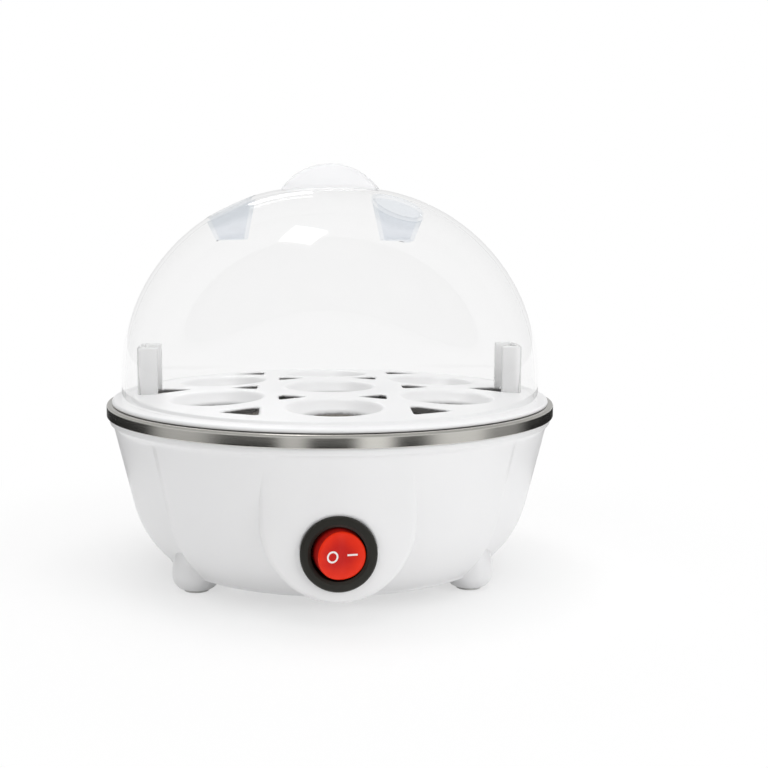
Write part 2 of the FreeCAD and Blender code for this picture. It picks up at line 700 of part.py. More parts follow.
def make_heater():
    keep(layer("heat_spreader", "spreader_radius", "spreader_thickness", spreader_low))
    keep(layer("mica_upper", "mica_radius", "mica_thickness", upper_mica_low))
    ring = cut(
        "ribbon_ring",
        rod("ribbon_disc", "ribbon_outer", "ribbon_thickness", z=ribbon_low),
        rod("ribbon_hole", "ribbon_inner", "ribbon_thickness", z=ribbon_low),
        slab("ribbon_slit", "ribbon_outer", "ribbon_break", "ribbon_thickness", "ribbon_outer / 2 + ribbon_inner / 2",
             "0", ribbon_low),
    )
    tabs = [
        slab(f"ribbon_tab_{side + 1}", "tab_thickness", "tab_width", "tab_length", "tab_ring", f"{side} * tab_spread",
             f"{ribbon_low} - tab_length")
        for side in (-1, 1)
    ]
    keep(fuse("heater_ribbon", ring, *tabs))
    keep(layer("mica_lower", "mica_radius", "mica_thickness", lower_mica_low,
               *tab_slots("mica", "mica_thickness", lower_mica_low)))
    holes = [
        rod(f"plate_hole_{index}", "screw_radius + hole_gap", "plate_thickness", x, y, plate_low)
        for index, (x, y) in enumerate(plate_screws())
    ]
    keep(layer("press_plate", "plate_radius", "plate_thickness", plate_low,
               *tab_slots("plate", "plate_thickness", plate_low), *holes))
    keep(rod("heater_stud", "post_radius", "post_length", z=f"{dish_under} - post_length"))
    keep(washer("heater_washer", "post_radius", "0", "0", plate_low))
    keep(nut("heater_nut", "post_nut_radius", "post_radius", "0", "0", f"{plate_low} - washer_thickness"))


def plate_screws():
    # two for the thermostat, one for the fuse clip
    return [("-thermostat_hole", "thermostat_y"), ("thermostat_hole", "thermostat_y"), ("0", "fuse_y + clip_screw")]


def make_protectors():
    flange_under = f"{plate_low} - flange_thickness"
    shank = "flange_thickness + plate_thickness"
    low = f"{plate_low} - thermostat_height"
    blade_x = "blade_reach / 2 + thermostat_radius / 4"
    blades = [
        slab(f"thermostat_blade_{side + 1}", "blade_reach - thermostat_radius / 2", "blade_width", "blade_thickness",
             f"{side} * ({blade_x})", "thermostat_y", f"{low} + blade_rise - blade_thickness / 2")
        for side in (-1, 1)
    ]
    flange = slab("thermostat_strap", "thermostat_flange", "flange_width", "flange_thickness", "0", "thermostat_y",
                  flange_under)
    can = rod("thermostat_can", "thermostat_radius", "thermostat_height", "0", "thermostat_y", low)
    places = plate_screws()
    holes = [
        rod(f"strap_hole_{index}", "screw_radius + hole_gap", "flange_thickness", x, y, flange_under)
        for index, (x, y) in enumerate(places)
    ]
    screws = [screw(f"plate_screw_{index}", x, y, flange_under, shank) for index, (x, y) in enumerate(places)]
    keep(cut("thermostat", fuse("thermostat_solid", can, flange, *blades), *holes[:2]))
    keep(group("thermostat_screws", screws[:2]))
    fuse_z = f"{plate_low} - fuse_radius - seat_gap"
    keep(rod("thermal_fuse", "fuse_radius", "fuse_length", "-fuse_length / 2", "fuse_y", fuse_z, "x"))
    saddle_radius = "fuse_radius + seat_gap + flange_thickness"
    saddle = rod("clip_saddle", saddle_radius, "clip_width", "-clip_width / 2", "fuse_y", fuse_z, "x")
    above = slab("clip_above", "clip_width", f"2 * ({saddle_radius})", saddle_radius, "0", "fuse_y",
                 f"{plate_low} - flange_thickness / 2")
    foot = slab("clip_foot_strip", "clip_width", "clip_foot - fuse_radius", "flange_thickness", "0",
                "fuse_y + (clip_foot + fuse_radius) / 2", flange_under)
    bore = rod("clip_bore", "fuse_radius + seat_gap", "clip_width", "-clip_width / 2", "fuse_y", fuse_z, "x")
    keep(cut("fuse_clip", fuse("clip_strip", cut("clip_open_saddle", saddle, above), foot), bore, holes[2]))
    screws[2].Label = "fuse_clip_screw"
    keep(screws[2])


# Switch: the barrel runs along Y behind the shield, the rocker turns on an upright pin

bezel_front = "-switch_seat - bezel_height"
pivot_y = f"{bezel_front} + pivot_depth"
arm_y = f"{pivot_y} + arm_pivot"
barrel_end = "-switch_seat + barrel_length"


def make_switch():
    shell = turned("switch_shell", [
        ("0", "-barrel_length"),
        ("barrel_radius", "-barrel_length"),
        ("barrel_radius", "0"),
        ("bezel_radius", "0"),
        ("bezel_radius", "bezel_land"),
        ("bezel_radius - bezel_height + bezel_land", "bezel_height", "bezel_height - bezel_land", "left"),
        ("bezel_top", "bezel_height"),
        ("barrel_bore", "bezel_height - bezel_dip"),
        ("barrel_bore", "barrel_back - barrel_length"),
        ("0", "barrel_back - barrel_length"),
    ])
    place(shell, "0", "-switch_seat", "switch_z", (1, 0, 0), "90")
    pin_hole = rod("pin_hole", "pin_radius + pin_gap", "2 * barrel_radius", "0", pivot_y, "switch_z - barrel_radius")
    slots = []
    blades = []
    for index, x in enumerate(("-terminal_spread", "0", "terminal_spread")):
        slots.append(slab(f"terminal_slot_{index}", "blade_thickness + 2 * terminal_gap",
                          "2 * barrel_back", "blade_width + 2 * terminal_gap", x, barrel_end,
                          "switch_z - blade_width / 2 - terminal_gap"))
        reach = "contact_gap" if x == "0" else "contact_gap + button_height + terminal_spread * sin(arm_tilt)"
        start = f"{arm_y} + {reach}"
        length = f"-terminal_end - ({start})"
        blades.append(slab(f"terminal_{index}", "blade_thickness", length, "blade_width", x,
                           f"{start} + ({length}) / 2", "switch_z - blade_width / 2"))
    keep(cut("switch_housing", shell, pin_hole, *slots))
    keep(group("switch_terminals", blades))


def make_rocker():
    # drawn about its pivot in the middle position, then tilted so that its right end is pressed
    body = padded("rocker_block", [
        ("0", "-rocker_face"),
        ("rocker_round", "-rocker_face - rocker_rise"),
        ("rocker_round", "rocker_back"),
        ("-rocker_round", "rocker_back"),
        ("-rocker_round", "-rocker_face - rocker_rise"),
    ], "2 * rocker_round")
    sides = [
        rod(f"rocker_side_{side + 1}", "rocker_round", "3 * rocker_round", f"{side} * rocker_shift",
            "-1.5 * rocker_round", "0", "y")
        for side in (-1, 1)
    ]
    pins = rod("rocker_pins", "pin_radius", "2 * pin_reach", z="-pin_reach")
    guide = rod("rocker_guide", "guide_radius", "guide_back", along="y")
    lamp_reach = "lamp_radius + lamp_gap"
    pocket = slab("lamp_pocket", f"2 * ({lamp_reach})", f"rocker_back + {lamp_reach}", "lamp_length + 2 * lamp_gap",
                  "lamp_x", f"(rocker_back - ({lamp_reach})) / 2", "-lamp_length / 2 - lamp_gap")
    bore = rod("guide_bore", "plunger_radius + plunger_gap", "spring_front + guide_back", "0", "-spring_front", "0", "y")
    pieces = [
        cut("rocker", fuse("rocker_solid", common("rocker_outline", body, *sides), pins, guide), pocket, bore),
        fuse("rocker_plunger",
             rod("plunger_stem", "plunger_radius", "plunger_tip - plunger_radius - plunger_start", "0",
                 "plunger_start", "0", "y"),
             place(bind(doc.addObject("Part::Sphere", "plunger_end"), Radius="plunger_radius"), "0",
                   "plunger_tip - plunger_radius")),
        cut("rocker_spring",
            rod("spring_outside", "plunger_radius", "spring_front + plunger_start", "0", "-spring_front", "0", "y"),
            rod("spring_hollow", "spring_bore", "spring_front + plunger_start", "0", "-spring_front", "0", "y")),
        group("neon_lamp", [rod("lamp_tube", "lamp_radius", "lamp_length", "lamp_x", "0", "-lamp_length / 2")]),
    ]
    for item in pieces:
        keep(place(item, "0", pivot_y, "switch_z", (0, 0, 1), "rocker_tilt"))
    bar = slab("arm_bar", "arm_length", "arm_thickness", "arm_width", "0", "-arm_lift - arm_thickness / 2",
               "-arm_width / 2")
    buttons = [
        rod(f"arm_button_{side + 1}", "button_radius", "arm_lift + button_height", f"{side} * terminal_spread",
            "-arm_lift", "0", "y")
        for side in (-1, 1)
    ]
    keep(place(fuse("contact_arm", bar, *buttons), "0", arm_y, "switch_z", (0, 0, 1), "-arm_tilt"))


# Rear entry, terminal block and the leads

def make_entry():
    gland = turned("cord_gland", [
        ("gland_bore", "-gland_length"),
        ("gland_radius", "-gland_length"),
        ("gland_radius", "0"),
        ("gland_flange", "0"),
        ("gland_flange", "gland_lip / 2"),
        ("gland_flange - gland_lip / 2", "gland_lip", "gland_lip / 2", "left"),
        ("gland_bore", "gland_lip"),
    ])
    keep(place(gland, "0", "gland_face", "gland_z", (1, 0, 0), "-90"))
    block = slab("block_body", "block_length", "block_depth", "block_height", "0", "block_y", floor_top)
    holes = []
    screws = []
    pole_z = f"{floor_top} + block_height / 2"
    for side in (-1, 1):
        x = f"{side} * block_spread"
        holes.append(rod(f"pole_hole_{side + 1}", "block_pole", "block_depth / 2", x, "block_y", pole_z, "y"))
        holes.append(rod(f"pole_screw_hole_{side + 1}", "block_pole + hole_gap", "block_height / 2", x, "block_y",
                         pole_z))
        screws.append(rod(f"pole_screw_{side + 1}", "block_pole", "block_height / 2 - block_pole", x, "block_y",
                          f"{pole_z} + block_pole"))
    keep(cut("terminal_block", block, *holes))
    keep(group("block_screws", screws))


def lead_path(points):
    # straight runs, with an arc at each corner that is as large as its two runs allow
    edges = []
    start = points[0]
    for before, corner, after in zip(points, points[1:], points[2:]):
        inward = (corner - before).normalize()
        onward = (after - corner).normalize()
        half = inward.getAngle(onward) / 2
        setback = 0.45 * min(before.distanceToPoint(corner), corner.distanceToPoint(after))
        first = corner - inward * setback
        last = corner + onward * setback
        towards = (onward - inward).normalize()
        radius = setback / math.tan(half)
        middle = corner + towards * (radius / math.cos(half) - radius)
        edges.append(Part.LineSegment(start, first).toShape())
        edges.append(Part.Arc(first, middle, last).toShape())
        start = last
    edges.append(Part.LineSegment(start, points[-1]).toShape())
    return Part.Wire(edges)


def lead(name, route):
    points = [FreeCAD.Vector(*spot) for spot in route]
    path = lead_path(points)
    circle = Part.makeCircle(size("lead_radius"), points[0], points[1] - points[0])
    item = doc.addObject("Part::Feature", name)
    item.Shape = path.makePipeShell([Part.Wire(circle)], True, False)
    expected = math.pi * size("lead_radius") ** 2 * path.Length
    print(name, "length", round(path.Length, 1), "volume ratio", round(item.Shape.Volume / expected, 4))
    return keep(item)


def routed(*steps):
    # point on the routing grid
    return tuple(step * size("route_step") for step in steps)


def make_leads():
    back = -size("terminal_end")
    high = size("switch_z")
    spread = size("terminal_spread")
    can_y = size("thermostat_y")
    can_z = value(f"{plate_low} - thermostat_height + blade_rise")
    can_x = size("blade_reach")
    tab_x = size("tab_ring")
    tab_y = size("tab_spread")
    tab_z = value(f"{ribbon_low} - tab_length")
    fuse_x = size("fuse_length") / 2
    fuse_y = size("fuse_y")
    fuse_z = value(f"{plate_low} - fuse_radius - seat_gap")
    block_x = size("block_spread")
    block_y = size("block_y") - size("block_depth") / 2
    block_z = value(f"{floor_top} + block_height / 2")
    lamp_x = -block_x / 2
    lamp_z = block_z + 2 * size("lead_radius")
    run = size("lead_straight")
    lead("lead_switched", [
        (-spread, back, high), (-spread, back + run, high), routed(-9, -12, 8.5), routed(-13.5, -2, 7.5),
        routed(-14, 6, 9), (-can_x - run, can_y, can_z), (-can_x, can_y, can_z),
    ])
    lead("lead_element", [
        (can_x, can_y, can_z), (can_x + run, can_y, can_z), routed(13, 6.5, 8),
        (tab_x, tab_y, tab_z - run), (tab_x, tab_y, tab_z),
    ])
    lead("lead_fuse", [
        (tab_x, -tab_y, tab_z), (tab_x, -tab_y, tab_z - run), routed(12, -8, 8.5),
        (fuse_x + run, fuse_y, fuse_z), (fuse_x, fuse_y, fuse_z),
    ])
    lead("lead_neutral", [
        (-fuse_x, fuse_y, fuse_z), (-fuse_x - run, fuse_y, fuse_z), routed(-14.5, -8, 11), routed(-18, 1, 7.5),
        routed(-15, 11, 5.5), (-block_x, block_y - run, block_z), (-block_x, block_y, block_z),
    ])
    lead("lead_live", [
        (0, back, high), (0, back + run, high), routed(4, -14, 7), routed(13, -10, 5.5), routed(17.5, 0, 5.5),
        routed(13, 10, 5.75), (block_x, block_y - run, block_z), (block_x, block_y, block_z),
    ])
    lead("lead_lamp", [
        (spread, back, high), (spread, back + run, high), routed(10, -15, 9.5), routed(17, -8, 8.5),
        routed(20.5, 2, 8), routed(16, 12, 8), routed(7, 16.5, 9), (lamp_x, block_y - run, lamp_z),
        (lamp_x, block_y, lamp_z),
    ])


# Tray

def make_tray():
    skirt_low = f"{flange_low} - skirt_depth"
    plate_under = f"{tray_top} - tray_plate"
    blank = turned("tray_blank", [
        ("0", tray_top),
        ("tray_radius - tray_edge", tray_top),
        ("tray_radius", f"{tray_top} - tray_edge", "tray_edge", "right"),
        ("tray_radius", flange_top),
        ("flange_radius - tray_edge", flange_top),
        ("flange_radius", f"{flange_top} - tray_edge", "tray_edge", "right"),
        ("flange_radius", flange_low),
        ("skirt_radius", flange_low),
        ("skirt_radius", skirt_low),
        ("skirt_radius - tray_plate", skirt_low),
        ("skirt_radius - tray_plate", plate_under),
        ("0", plate_under),
    ])
    seat_rise = "sqrt(seat_radius ^ 2 - hole_radius ^ 2)"
    seat_depth = f"sqrt(seat_radius ^ 2 - throat_radius ^ 2) - {seat_rise}"
    collars = []
    hollows = []
    seats = [("middle", "0", "0")]
    seats += [(index, x, y) for index, x, y, angle in ring_places("hole_ring", "30", 6, 60)]
    for index, x, y in seats:
        low = f"{tray_top} - ({seat_depth})"
        collars.append(cone(f"seat_collar_{index}", "throat_radius + collar_wall", "hole_radius + collar_wall",
                            seat_depth, x, y, low))
        ball = bind(doc.addObject("Part::Sphere", f"seat_hollow_{index}"), Radius="seat_radius")
        hollows.append(place(ball, x, y, f"{tray_top} + {seat_rise}"))
        hollows.append(rod(f"seat_throat_{index}", "throat_radius", f"2 * ({seat_depth})", x, y,
                           f"{tray_top} - 2 * ({seat_depth})"))
    for index, x, y, angle in ring_places("inner_vent_ring", "0", 6, 60):
        hollows.append(prism(f"inner_vent_{index}", 3, "inner_vent", "2 * tray_plate", x, y,
                             f"{plate_under} - tray_plate / 2", angle))
    for index, x, y, angle in ring_places("outer_vent_ring", "0", 6, 60):
        hollows.append(prism(f"outer_vent_{index}", 3, "outer_vent", "2 * tray_plate", x, y,
                             f"{plate_under} - tray_plate / 2", f"180 + {angle}"))
    tabs = []
    for side in (-1, 1):
        name = f"tab_{side + 1}"
        middle = f"{side} * (tab_radius - tab_depth / 2)"
        block = slab(name + "_block", "tab_depth", "tab_span", "tab_height + tray_plate", middle, "0", plate_under)
        inside = slab(name + "_inside", "tab_depth", "tab_span - 2 * tab_wall", "tab_height + tray_plate",
                      f"{middle} - {side} * tab_wall", "0", plate_under)
        tabs.append(cut(name, block, inside))
    keep(fuse("egg_tray", cut("tray_pierced", fuse("tray_with_collars", blank, *collars), *hollows), *tabs))


# Lid

def dome_solid(name, inset, low):
    # straight skirt, shoulder arc and crown arc, tangent to each other
    offset = "(dome_radius - shoulder_radius)"
    span = "(crown_radius - shoulder_radius)"
    shoulder_z = f"{crown_z} - crown_radius + sqrt({span} ^ 2 - {offset} ^ 2)"
    crown = f"(crown_radius - {inset})"
    return turned(name, [
        ("0", low),
        (f"dome_radius - {inset}", low),
        (f"dome_radius - {inset}", shoulder_z),
        (f"{crown} * {offset} / {span}",
         f"{crown_z} - crown_radius + {crown} * sqrt({span} ^ 2 - {offset} ^ 2) / {span}",
         f"shoulder_radius - {inset}", "left"),
        ("0", f"{crown_z} - {inset}", crown, "left"),
    ])


def make_lid():
    outside = dome_solid("dome_outside", "0", dome_base)
    shell = cut("dome_shell", outside, dome_solid("dome_inside", "dome_wall", f"{dome_base} - dome_wall"))
    vent_z = f"{crown_z} - vent_drop"
    collars = []
    holes = []
    for name in ("vent_left", "vent_right"):
        x = f"vent_ring * cos({name})"
        y = f"vent_ring * sin({name})"
        collars.append(cone(name + "_cone", "vent_low", "vent_high", "vent_height", x, y, vent_z))
        holes.append(cone(name + "_hole", "vent_low - vent_wall", "vent_high - vent_wall", "vent_height", x, y, vent_z))
    for side in (-1, 1):
        holes.append(rod(f"knob_pin_hole_{side + 1}", "knob_pin + hole_gap", "knob_rise + dome_wall + knob_head",
                         f"{side} * knob_pin_x", "0", f"{crown_z} - dome_wall - knob_head"))
    trimmed = common("vent_collars", fuse("vent_cones", *collars), outside)
    keep(cut("lid_dome", fuse("dome_with_vents", shell, trimmed), *holes))
    disc = turned("knob_disc", [
        ("0", "-knob_thickness / 2"),
        ("knob_radius - knob_round", "-knob_thickness / 2"),
        ("knob_radius", "knob_round - knob_thickness / 2", "knob_round", "left"),
        ("knob_radius", "knob_thickness / 2 - knob_round"),
        ("knob_radius - knob_round", "knob_thickness / 2", "knob_round", "left"),
        ("0", "knob_thickness / 2"),
    ])
    place(disc, "0", "0", f"{crown_z} + knob_rise - knob_radius", (1, 0, 0), "90")
    head_top = f"{crown_z} - dome_wall - (knob_pin_x + knob_head) ^ 2 / (2 * (crown_radius - dome_wall)) - seat_gap"
    pins = []
    for side in (-1, 1):
        x = f"{side} * knob_pin_x"
        pins.append(rod(f"knob_pin_{side + 1}", "knob_pin", f"{crown_z} + knob_rise / 2 - ({head_top})", x, "0", head_top))
        pins.append(rod(f"knob_pin_head_{side + 1}", "knob_head", "knob_head_height", x, "0",
                        f"{head_top} - knob_head_height"))
    keep(fuse("lid_knob", cut("knob_grip", disc, outside), *pins))


make_housing()
make_bottom()
make_dish()
make_heater()
make_protectors()
make_switch()
make_rocker()
make_entry()
make_leads()
make_tray()
make_lid()
doc.recompute()

for item in doc.Objects:
    if "Invalid" in item.State or "Error" in item.State:
        raise RuntimeError(f"{item.Label} failed: {item.State}")
for item in parts:
    if item.Shape.isNull() or not item.Shape.isValid() or not item.Shape.Solids:
        raise RuntimeError(f"{item.Label} has no valid solid")

os.makedirs("parts", exist_ok=True)
for item in parts:
    item.Shape.exportStep(f"parts/{item.Label}.step")
    print(item.Label, len(item.Shape.Solids), round(item.Shape.Volume, 1))
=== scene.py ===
import json
import math

import bmesh
import bpy
import numpy as np
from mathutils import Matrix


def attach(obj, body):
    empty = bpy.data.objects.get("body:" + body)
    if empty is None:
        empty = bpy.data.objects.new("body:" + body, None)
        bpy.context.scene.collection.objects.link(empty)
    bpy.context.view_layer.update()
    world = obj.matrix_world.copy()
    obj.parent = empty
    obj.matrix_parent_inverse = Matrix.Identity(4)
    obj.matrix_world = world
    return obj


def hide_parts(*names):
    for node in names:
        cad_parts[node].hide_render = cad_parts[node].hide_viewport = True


# Seven-egg electric egg cooker, dressed round its CAD frame. Lengths are metres, mm turns millimetres into them.
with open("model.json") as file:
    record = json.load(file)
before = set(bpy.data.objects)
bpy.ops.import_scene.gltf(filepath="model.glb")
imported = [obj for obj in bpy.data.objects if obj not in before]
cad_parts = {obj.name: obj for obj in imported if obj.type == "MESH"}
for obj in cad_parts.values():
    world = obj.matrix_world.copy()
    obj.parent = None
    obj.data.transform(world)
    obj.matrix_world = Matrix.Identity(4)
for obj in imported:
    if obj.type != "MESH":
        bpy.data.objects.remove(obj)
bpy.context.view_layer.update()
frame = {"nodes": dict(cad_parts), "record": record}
nodes = frame["nodes"]
mm = 0.001
print("frame loaded:", len(nodes), "nodes")


# helpers for colours, nodes and meshes

def linearColor(hexText, alpha=1.0):
    # sRGB hex to linear: divide by 12.92 near black, else ((c + 0.055) / 1.055) to the power 2.4
    srgb = np.array([int(hexText[at:at + 2], 16) for at in (1, 3, 5)]) / 255
    linear = np.where(srgb <= 0.04045, srgb / 12.92, ((srgb + 0.055) / 1.055) ** 2.4)
    return (*linear.tolist(), alpha)


def addNode(tree, kind, settings=None, **links):
    # one node; settings go to its sockets or properties, links feed its sockets (underscores stand for spaces)
    node = tree.nodes.new(kind)
    for name, value in (settings or {}).items():
        if name in node.inputs:
            node.inputs[name].default_value = value
        else:
            setattr(node, name, value)
    for name, source in links.items():
        socket = node.inputs[int(name[2:])] if name.startswith("at") else node.inputs[name.replace("_", " ")]
        tree.links.new(source, socket)
    return node


def newMaterial(name, surface):
    # Principled material; surface holds the constants for the shader's own sockets
    material = bpy.data.materials.new(name)
    material.use_nodes = True
    tree = material.node_tree
    shader = tree.nodes["Principled BSDF"]
    for socket, value in surface.items():
        shader.inputs[socket].default_value = value
    coords = addNode(tree, "ShaderNodeTexCoord")
    return material, tree, shader, coords.outputs["Object"]


def mottle(tree, shader, coords, grain, low, high, socket="Roughness", detail=2.0):
    # noise of about one grain's width that moves a socket between low and high
    noise = addNode(tree, "ShaderNodeTexNoise", {"Scale": 1 / grain, "Detail": detail}, Vector=coords)
    spread = addNode(tree, "ShaderNodeMapRange", {"To Min": low, "To Max": high}, Value=noise.outputs["Fac"])
    tree.links.new(spread.outputs["Result"], shader.inputs[socket])
    return noise


def grainBump(tree, shader, coords, grain, height, strength):
    # noise relief of one grain's width and a real height
    noise = addNode(tree, "ShaderNodeTexNoise", {"Scale": 1 / grain, "Detail": 2.0}, Vector=coords)
    bump = addNode(tree, "ShaderNodeBump", {"Distance": height, "Strength": strength}, Height=noise.outputs["Fac"])
    tree.links.new(bump.outputs["Normal"], shader.inputs["Normal"])


# materials

def mouldedPlastic(name, hexColor, shade, roughness, grain=0.9 * mm, gloss=0.5):
    # injection-moulded plastic: even colour, soft gloss that wavers a little, faint orange-peel relief
    material, tree, shader, coords = newMaterial(name, {"IOR": 1.5, "Specular IOR Level": gloss})
    tone = addNode(tree, "ShaderNodeTexNoise", {"Scale": 1 / (35 * mm), "Detail": 3.0}, Vector=coords)
    mix = addNode(tree, "ShaderNodeMix", {"data_type": "RGBA"}, at0=tone.outputs["Fac"])
    mix.inputs[6].default_value = linearColor(hexColor)
    mix.inputs[7].default_value = linearColor(shade)
    tree.links.new(mix.outputs[2], shader.inputs["Base Color"])
    mottle(tree, shader, coords, 6 * mm, roughness - 0.04, roughness + 0.04)
    grainBump(tree, shader, coords, grain, 0.02 * mm, 0.25)
    return material


funnels = {
    "angles": (188.0, 308.0), "ring": 33.0, "reach": 8.4,
    # painted shade by share of the reach: a darker band at the lower edge, a grey wall, a darker band at the mouth
    # edge, then the clear dome
    "paintedShadeStops": ((0.46, "#E3E7EC"), (0.54, "#F3F5F8"), (0.78, "#F4F6F9"), (0.86, "#E4E8EC"), (0.93, "#E4E8EC"),
              (1.0, "#FCFCFC")),
}


def clearDome(name, coat):
    # moulded clear polycarbonate sheet: too thin to bend what lies behind it, so the gloss is a clear coat over a body
    # that hardly refracts; light on its way to other surfaces passes straight through
    # the painted shade follows the distance to the nearer funnel: the funnel walls are greyed and their edges darkened,
    # standing in for the shading that a curved clear wall gets from refraction
    material, tree, shader, coords = newMaterial(name, {
        "IOR": 1.001, "Transmission Weight": 1.0, "Coat Weight": coat, "Coat IOR": 1.58, "Coat Roughness": 0.02,
    })
    mottle(tree, shader, coords, 20 * mm, 0.0, 0.04)
    nearest = None
    for turn in np.radians(funnels["angles"]):
        centre = (-funnels["ring"] * mm * math.cos(turn), -funnels["ring"] * mm * math.sin(turn), 0)
        moved = addNode(tree, "ShaderNodeMapping", {"Location": centre, "Scale": (1, 1, 0)}, Vector=coords)
        away = addNode(tree, "ShaderNodeVectorMath", {"operation": "LENGTH"}, at0=moved.outputs["Vector"])
        distance = away.outputs["Value"]
        both = addNode(tree, "ShaderNodeMath", {"operation": "MINIMUM"}, at0=nearest or distance, at1=distance)
        nearest = both.outputs[0]
    share = addNode(tree, "ShaderNodeMath", {"operation": "DIVIDE"}, at0=nearest)
    share.inputs[1].default_value = funnels["reach"] * mm
    # painted shade: this colour ramp over the share of the reach greys the funnels and darkens their edges
    paintedShadeRamp = addNode(tree, "ShaderNodeValToRGB", None, Fac=share.outputs[0])
    stops = paintedShadeRamp.color_ramp.elements
    stops.remove(stops[0])
    for at, (place, hexColor) in enumerate(funnels["paintedShadeStops"]):
        stop = stops[0] if at == 0 else stops.new(place)
        stop.position, stop.color = place, linearColor(hexColor)
    tree.links.new(paintedShadeRamp.outputs["Color"], shader.inputs["Base Color"])
    path = addNode(tree, "ShaderNodeLightPath")
    clear = addNode(tree, "ShaderNodeBsdfTransparent", {"Color": linearColor("#FAFAFA")})
    plain = addNode(tree, "ShaderNodeMath", {"operation": "MAXIMUM"}, at0=path.outputs["Is Shadow Ray"],
                    at1=path.outputs["Is Diffuse Ray"])
    mix = addNode(tree, "ShaderNodeMixShader", None, at0=plain.outputs[0], at1=shader.outputs["BSDF"],
                  at2=clear.outputs["BSDF"])
    tree.links.new(mix.outputs["Shader"], tree.nodes["Material Output"].inputs["Surface"])
    return material


def milkyPlastic(name, hexColor, passing):
    # thin white polypropylene: some of the light behind it comes through, spread wide; the base colour passed in is a
    # painted lift, whiter than the plastic's own white
    material, tree, shader, coords = newMaterial(name, {
        "Base Color": linearColor(hexColor), "IOR": 1.15, "Transmission Weight": passing,
    })
    mottle(tree, shader, coords, 5 * mm, 0.65, 0.75)
    grainBump(tree, shader, coords, 0.9 * mm, 0.02 * mm, 0.2)
    return material


def glowingKey(name, middle, edge, place, reach):
    # clear red polycarbonate over a lamp: deep red in the middle, brighter where the edge gathers the light
    material, tree, shader, coords = newMaterial(name, {
        "IOR": 1.58, "Roughness": 0.25, "Specular IOR Level": 0.2, "Emission Strength": 0.2,
    })
    centred = addNode(tree, "ShaderNodeMapping", {"Location": tuple(-at for at in place)}, Vector=coords)
    away = addNode(tree, "ShaderNodeVectorMath", {"operation": "LENGTH"}, at0=centred.outputs["Vector"])
    cloud = addNode(tree, "ShaderNodeTexNoise", {"Scale": 1 / (4 * mm), "Detail": 3.0}, Vector=coords)
    sway = addNode(tree, "ShaderNodeMath", {"operation": "MULTIPLY_ADD"}, at0=cloud.outputs["Fac"],
                   at2=away.outputs["Value"])
    sway.inputs[1].default_value = 0.35 * reach
    share = addNode(tree, "ShaderNodeMapRange", {"From Min": 0.45 * reach, "From Max": 1.2 * reach,
                                                 "interpolation_type": "SMOOTHSTEP"}, Value=sway.outputs[0])
    mix = addNode(tree, "ShaderNodeMix", {"data_type": "RGBA"}, at0=share.outputs["Result"])
    mix.inputs[6].default_value = linearColor(middle)
    mix.inputs[7].default_value = linearColor(edge)
    tree.links.new(mix.outputs[2], shader.inputs["Base Color"])
    tree.links.new(mix.outputs[2], shader.inputs["Emission Color"])
    return material


def brushedSteel(name, hexColor, wellShade, roughness):
    # stainless sheet brushed round the rim: fine level scratches that spread the gloss; the well below is painted
    # darker, a painted shade for the shade inside the cooker
    material, tree, shader, coords = newMaterial(name, {"Metallic": 1.0})
    turn = addNode(tree, "ShaderNodeMapping", {"Scale": (1, 1, 60)}, Vector=coords)
    scratches = mottle(tree, shader, turn.outputs["Vector"], 12 * mm, roughness - 0.05, roughness + 0.07, detail=6.0)
    bump = addNode(tree, "ShaderNodeBump", {"Distance": 0.004 * mm, "Strength": 0.15}, Height=scratches.outputs["Fac"])
    tree.links.new(bump.outputs["Normal"], shader.inputs["Normal"])
    # painted shade: below the rim band the colour goes over to the darker well colour
    height = addNode(tree, "ShaderNodeSeparateXYZ", None, Vector=coords)
    upper = addNode(tree, "ShaderNodeMapRange", {"From Min": 50 * mm, "From Max": 53 * mm}, Value=height.outputs["Z"])
    mix = addNode(tree, "ShaderNodeMix", {"data_type": "RGBA"}, at0=upper.outputs["Result"])
    mix.inputs[6].default_value = linearColor(wellShade)
    mix.inputs[7].default_value = linearColor(hexColor)
    tree.links.new(mix.outputs[2], shader.inputs["Base Color"])
    return material


def plainMetal(name, hexColor, roughness):
    # rolled or stamped metal: cloudy gloss
    material, tree, shader, coords = newMaterial(name, {"Metallic": 1.0, "Base Color": linearColor(hexColor)})
    mottle(tree, shader, coords, 3 * mm, roughness - 0.08, roughness + 0.08, detail=5.0)
    return material


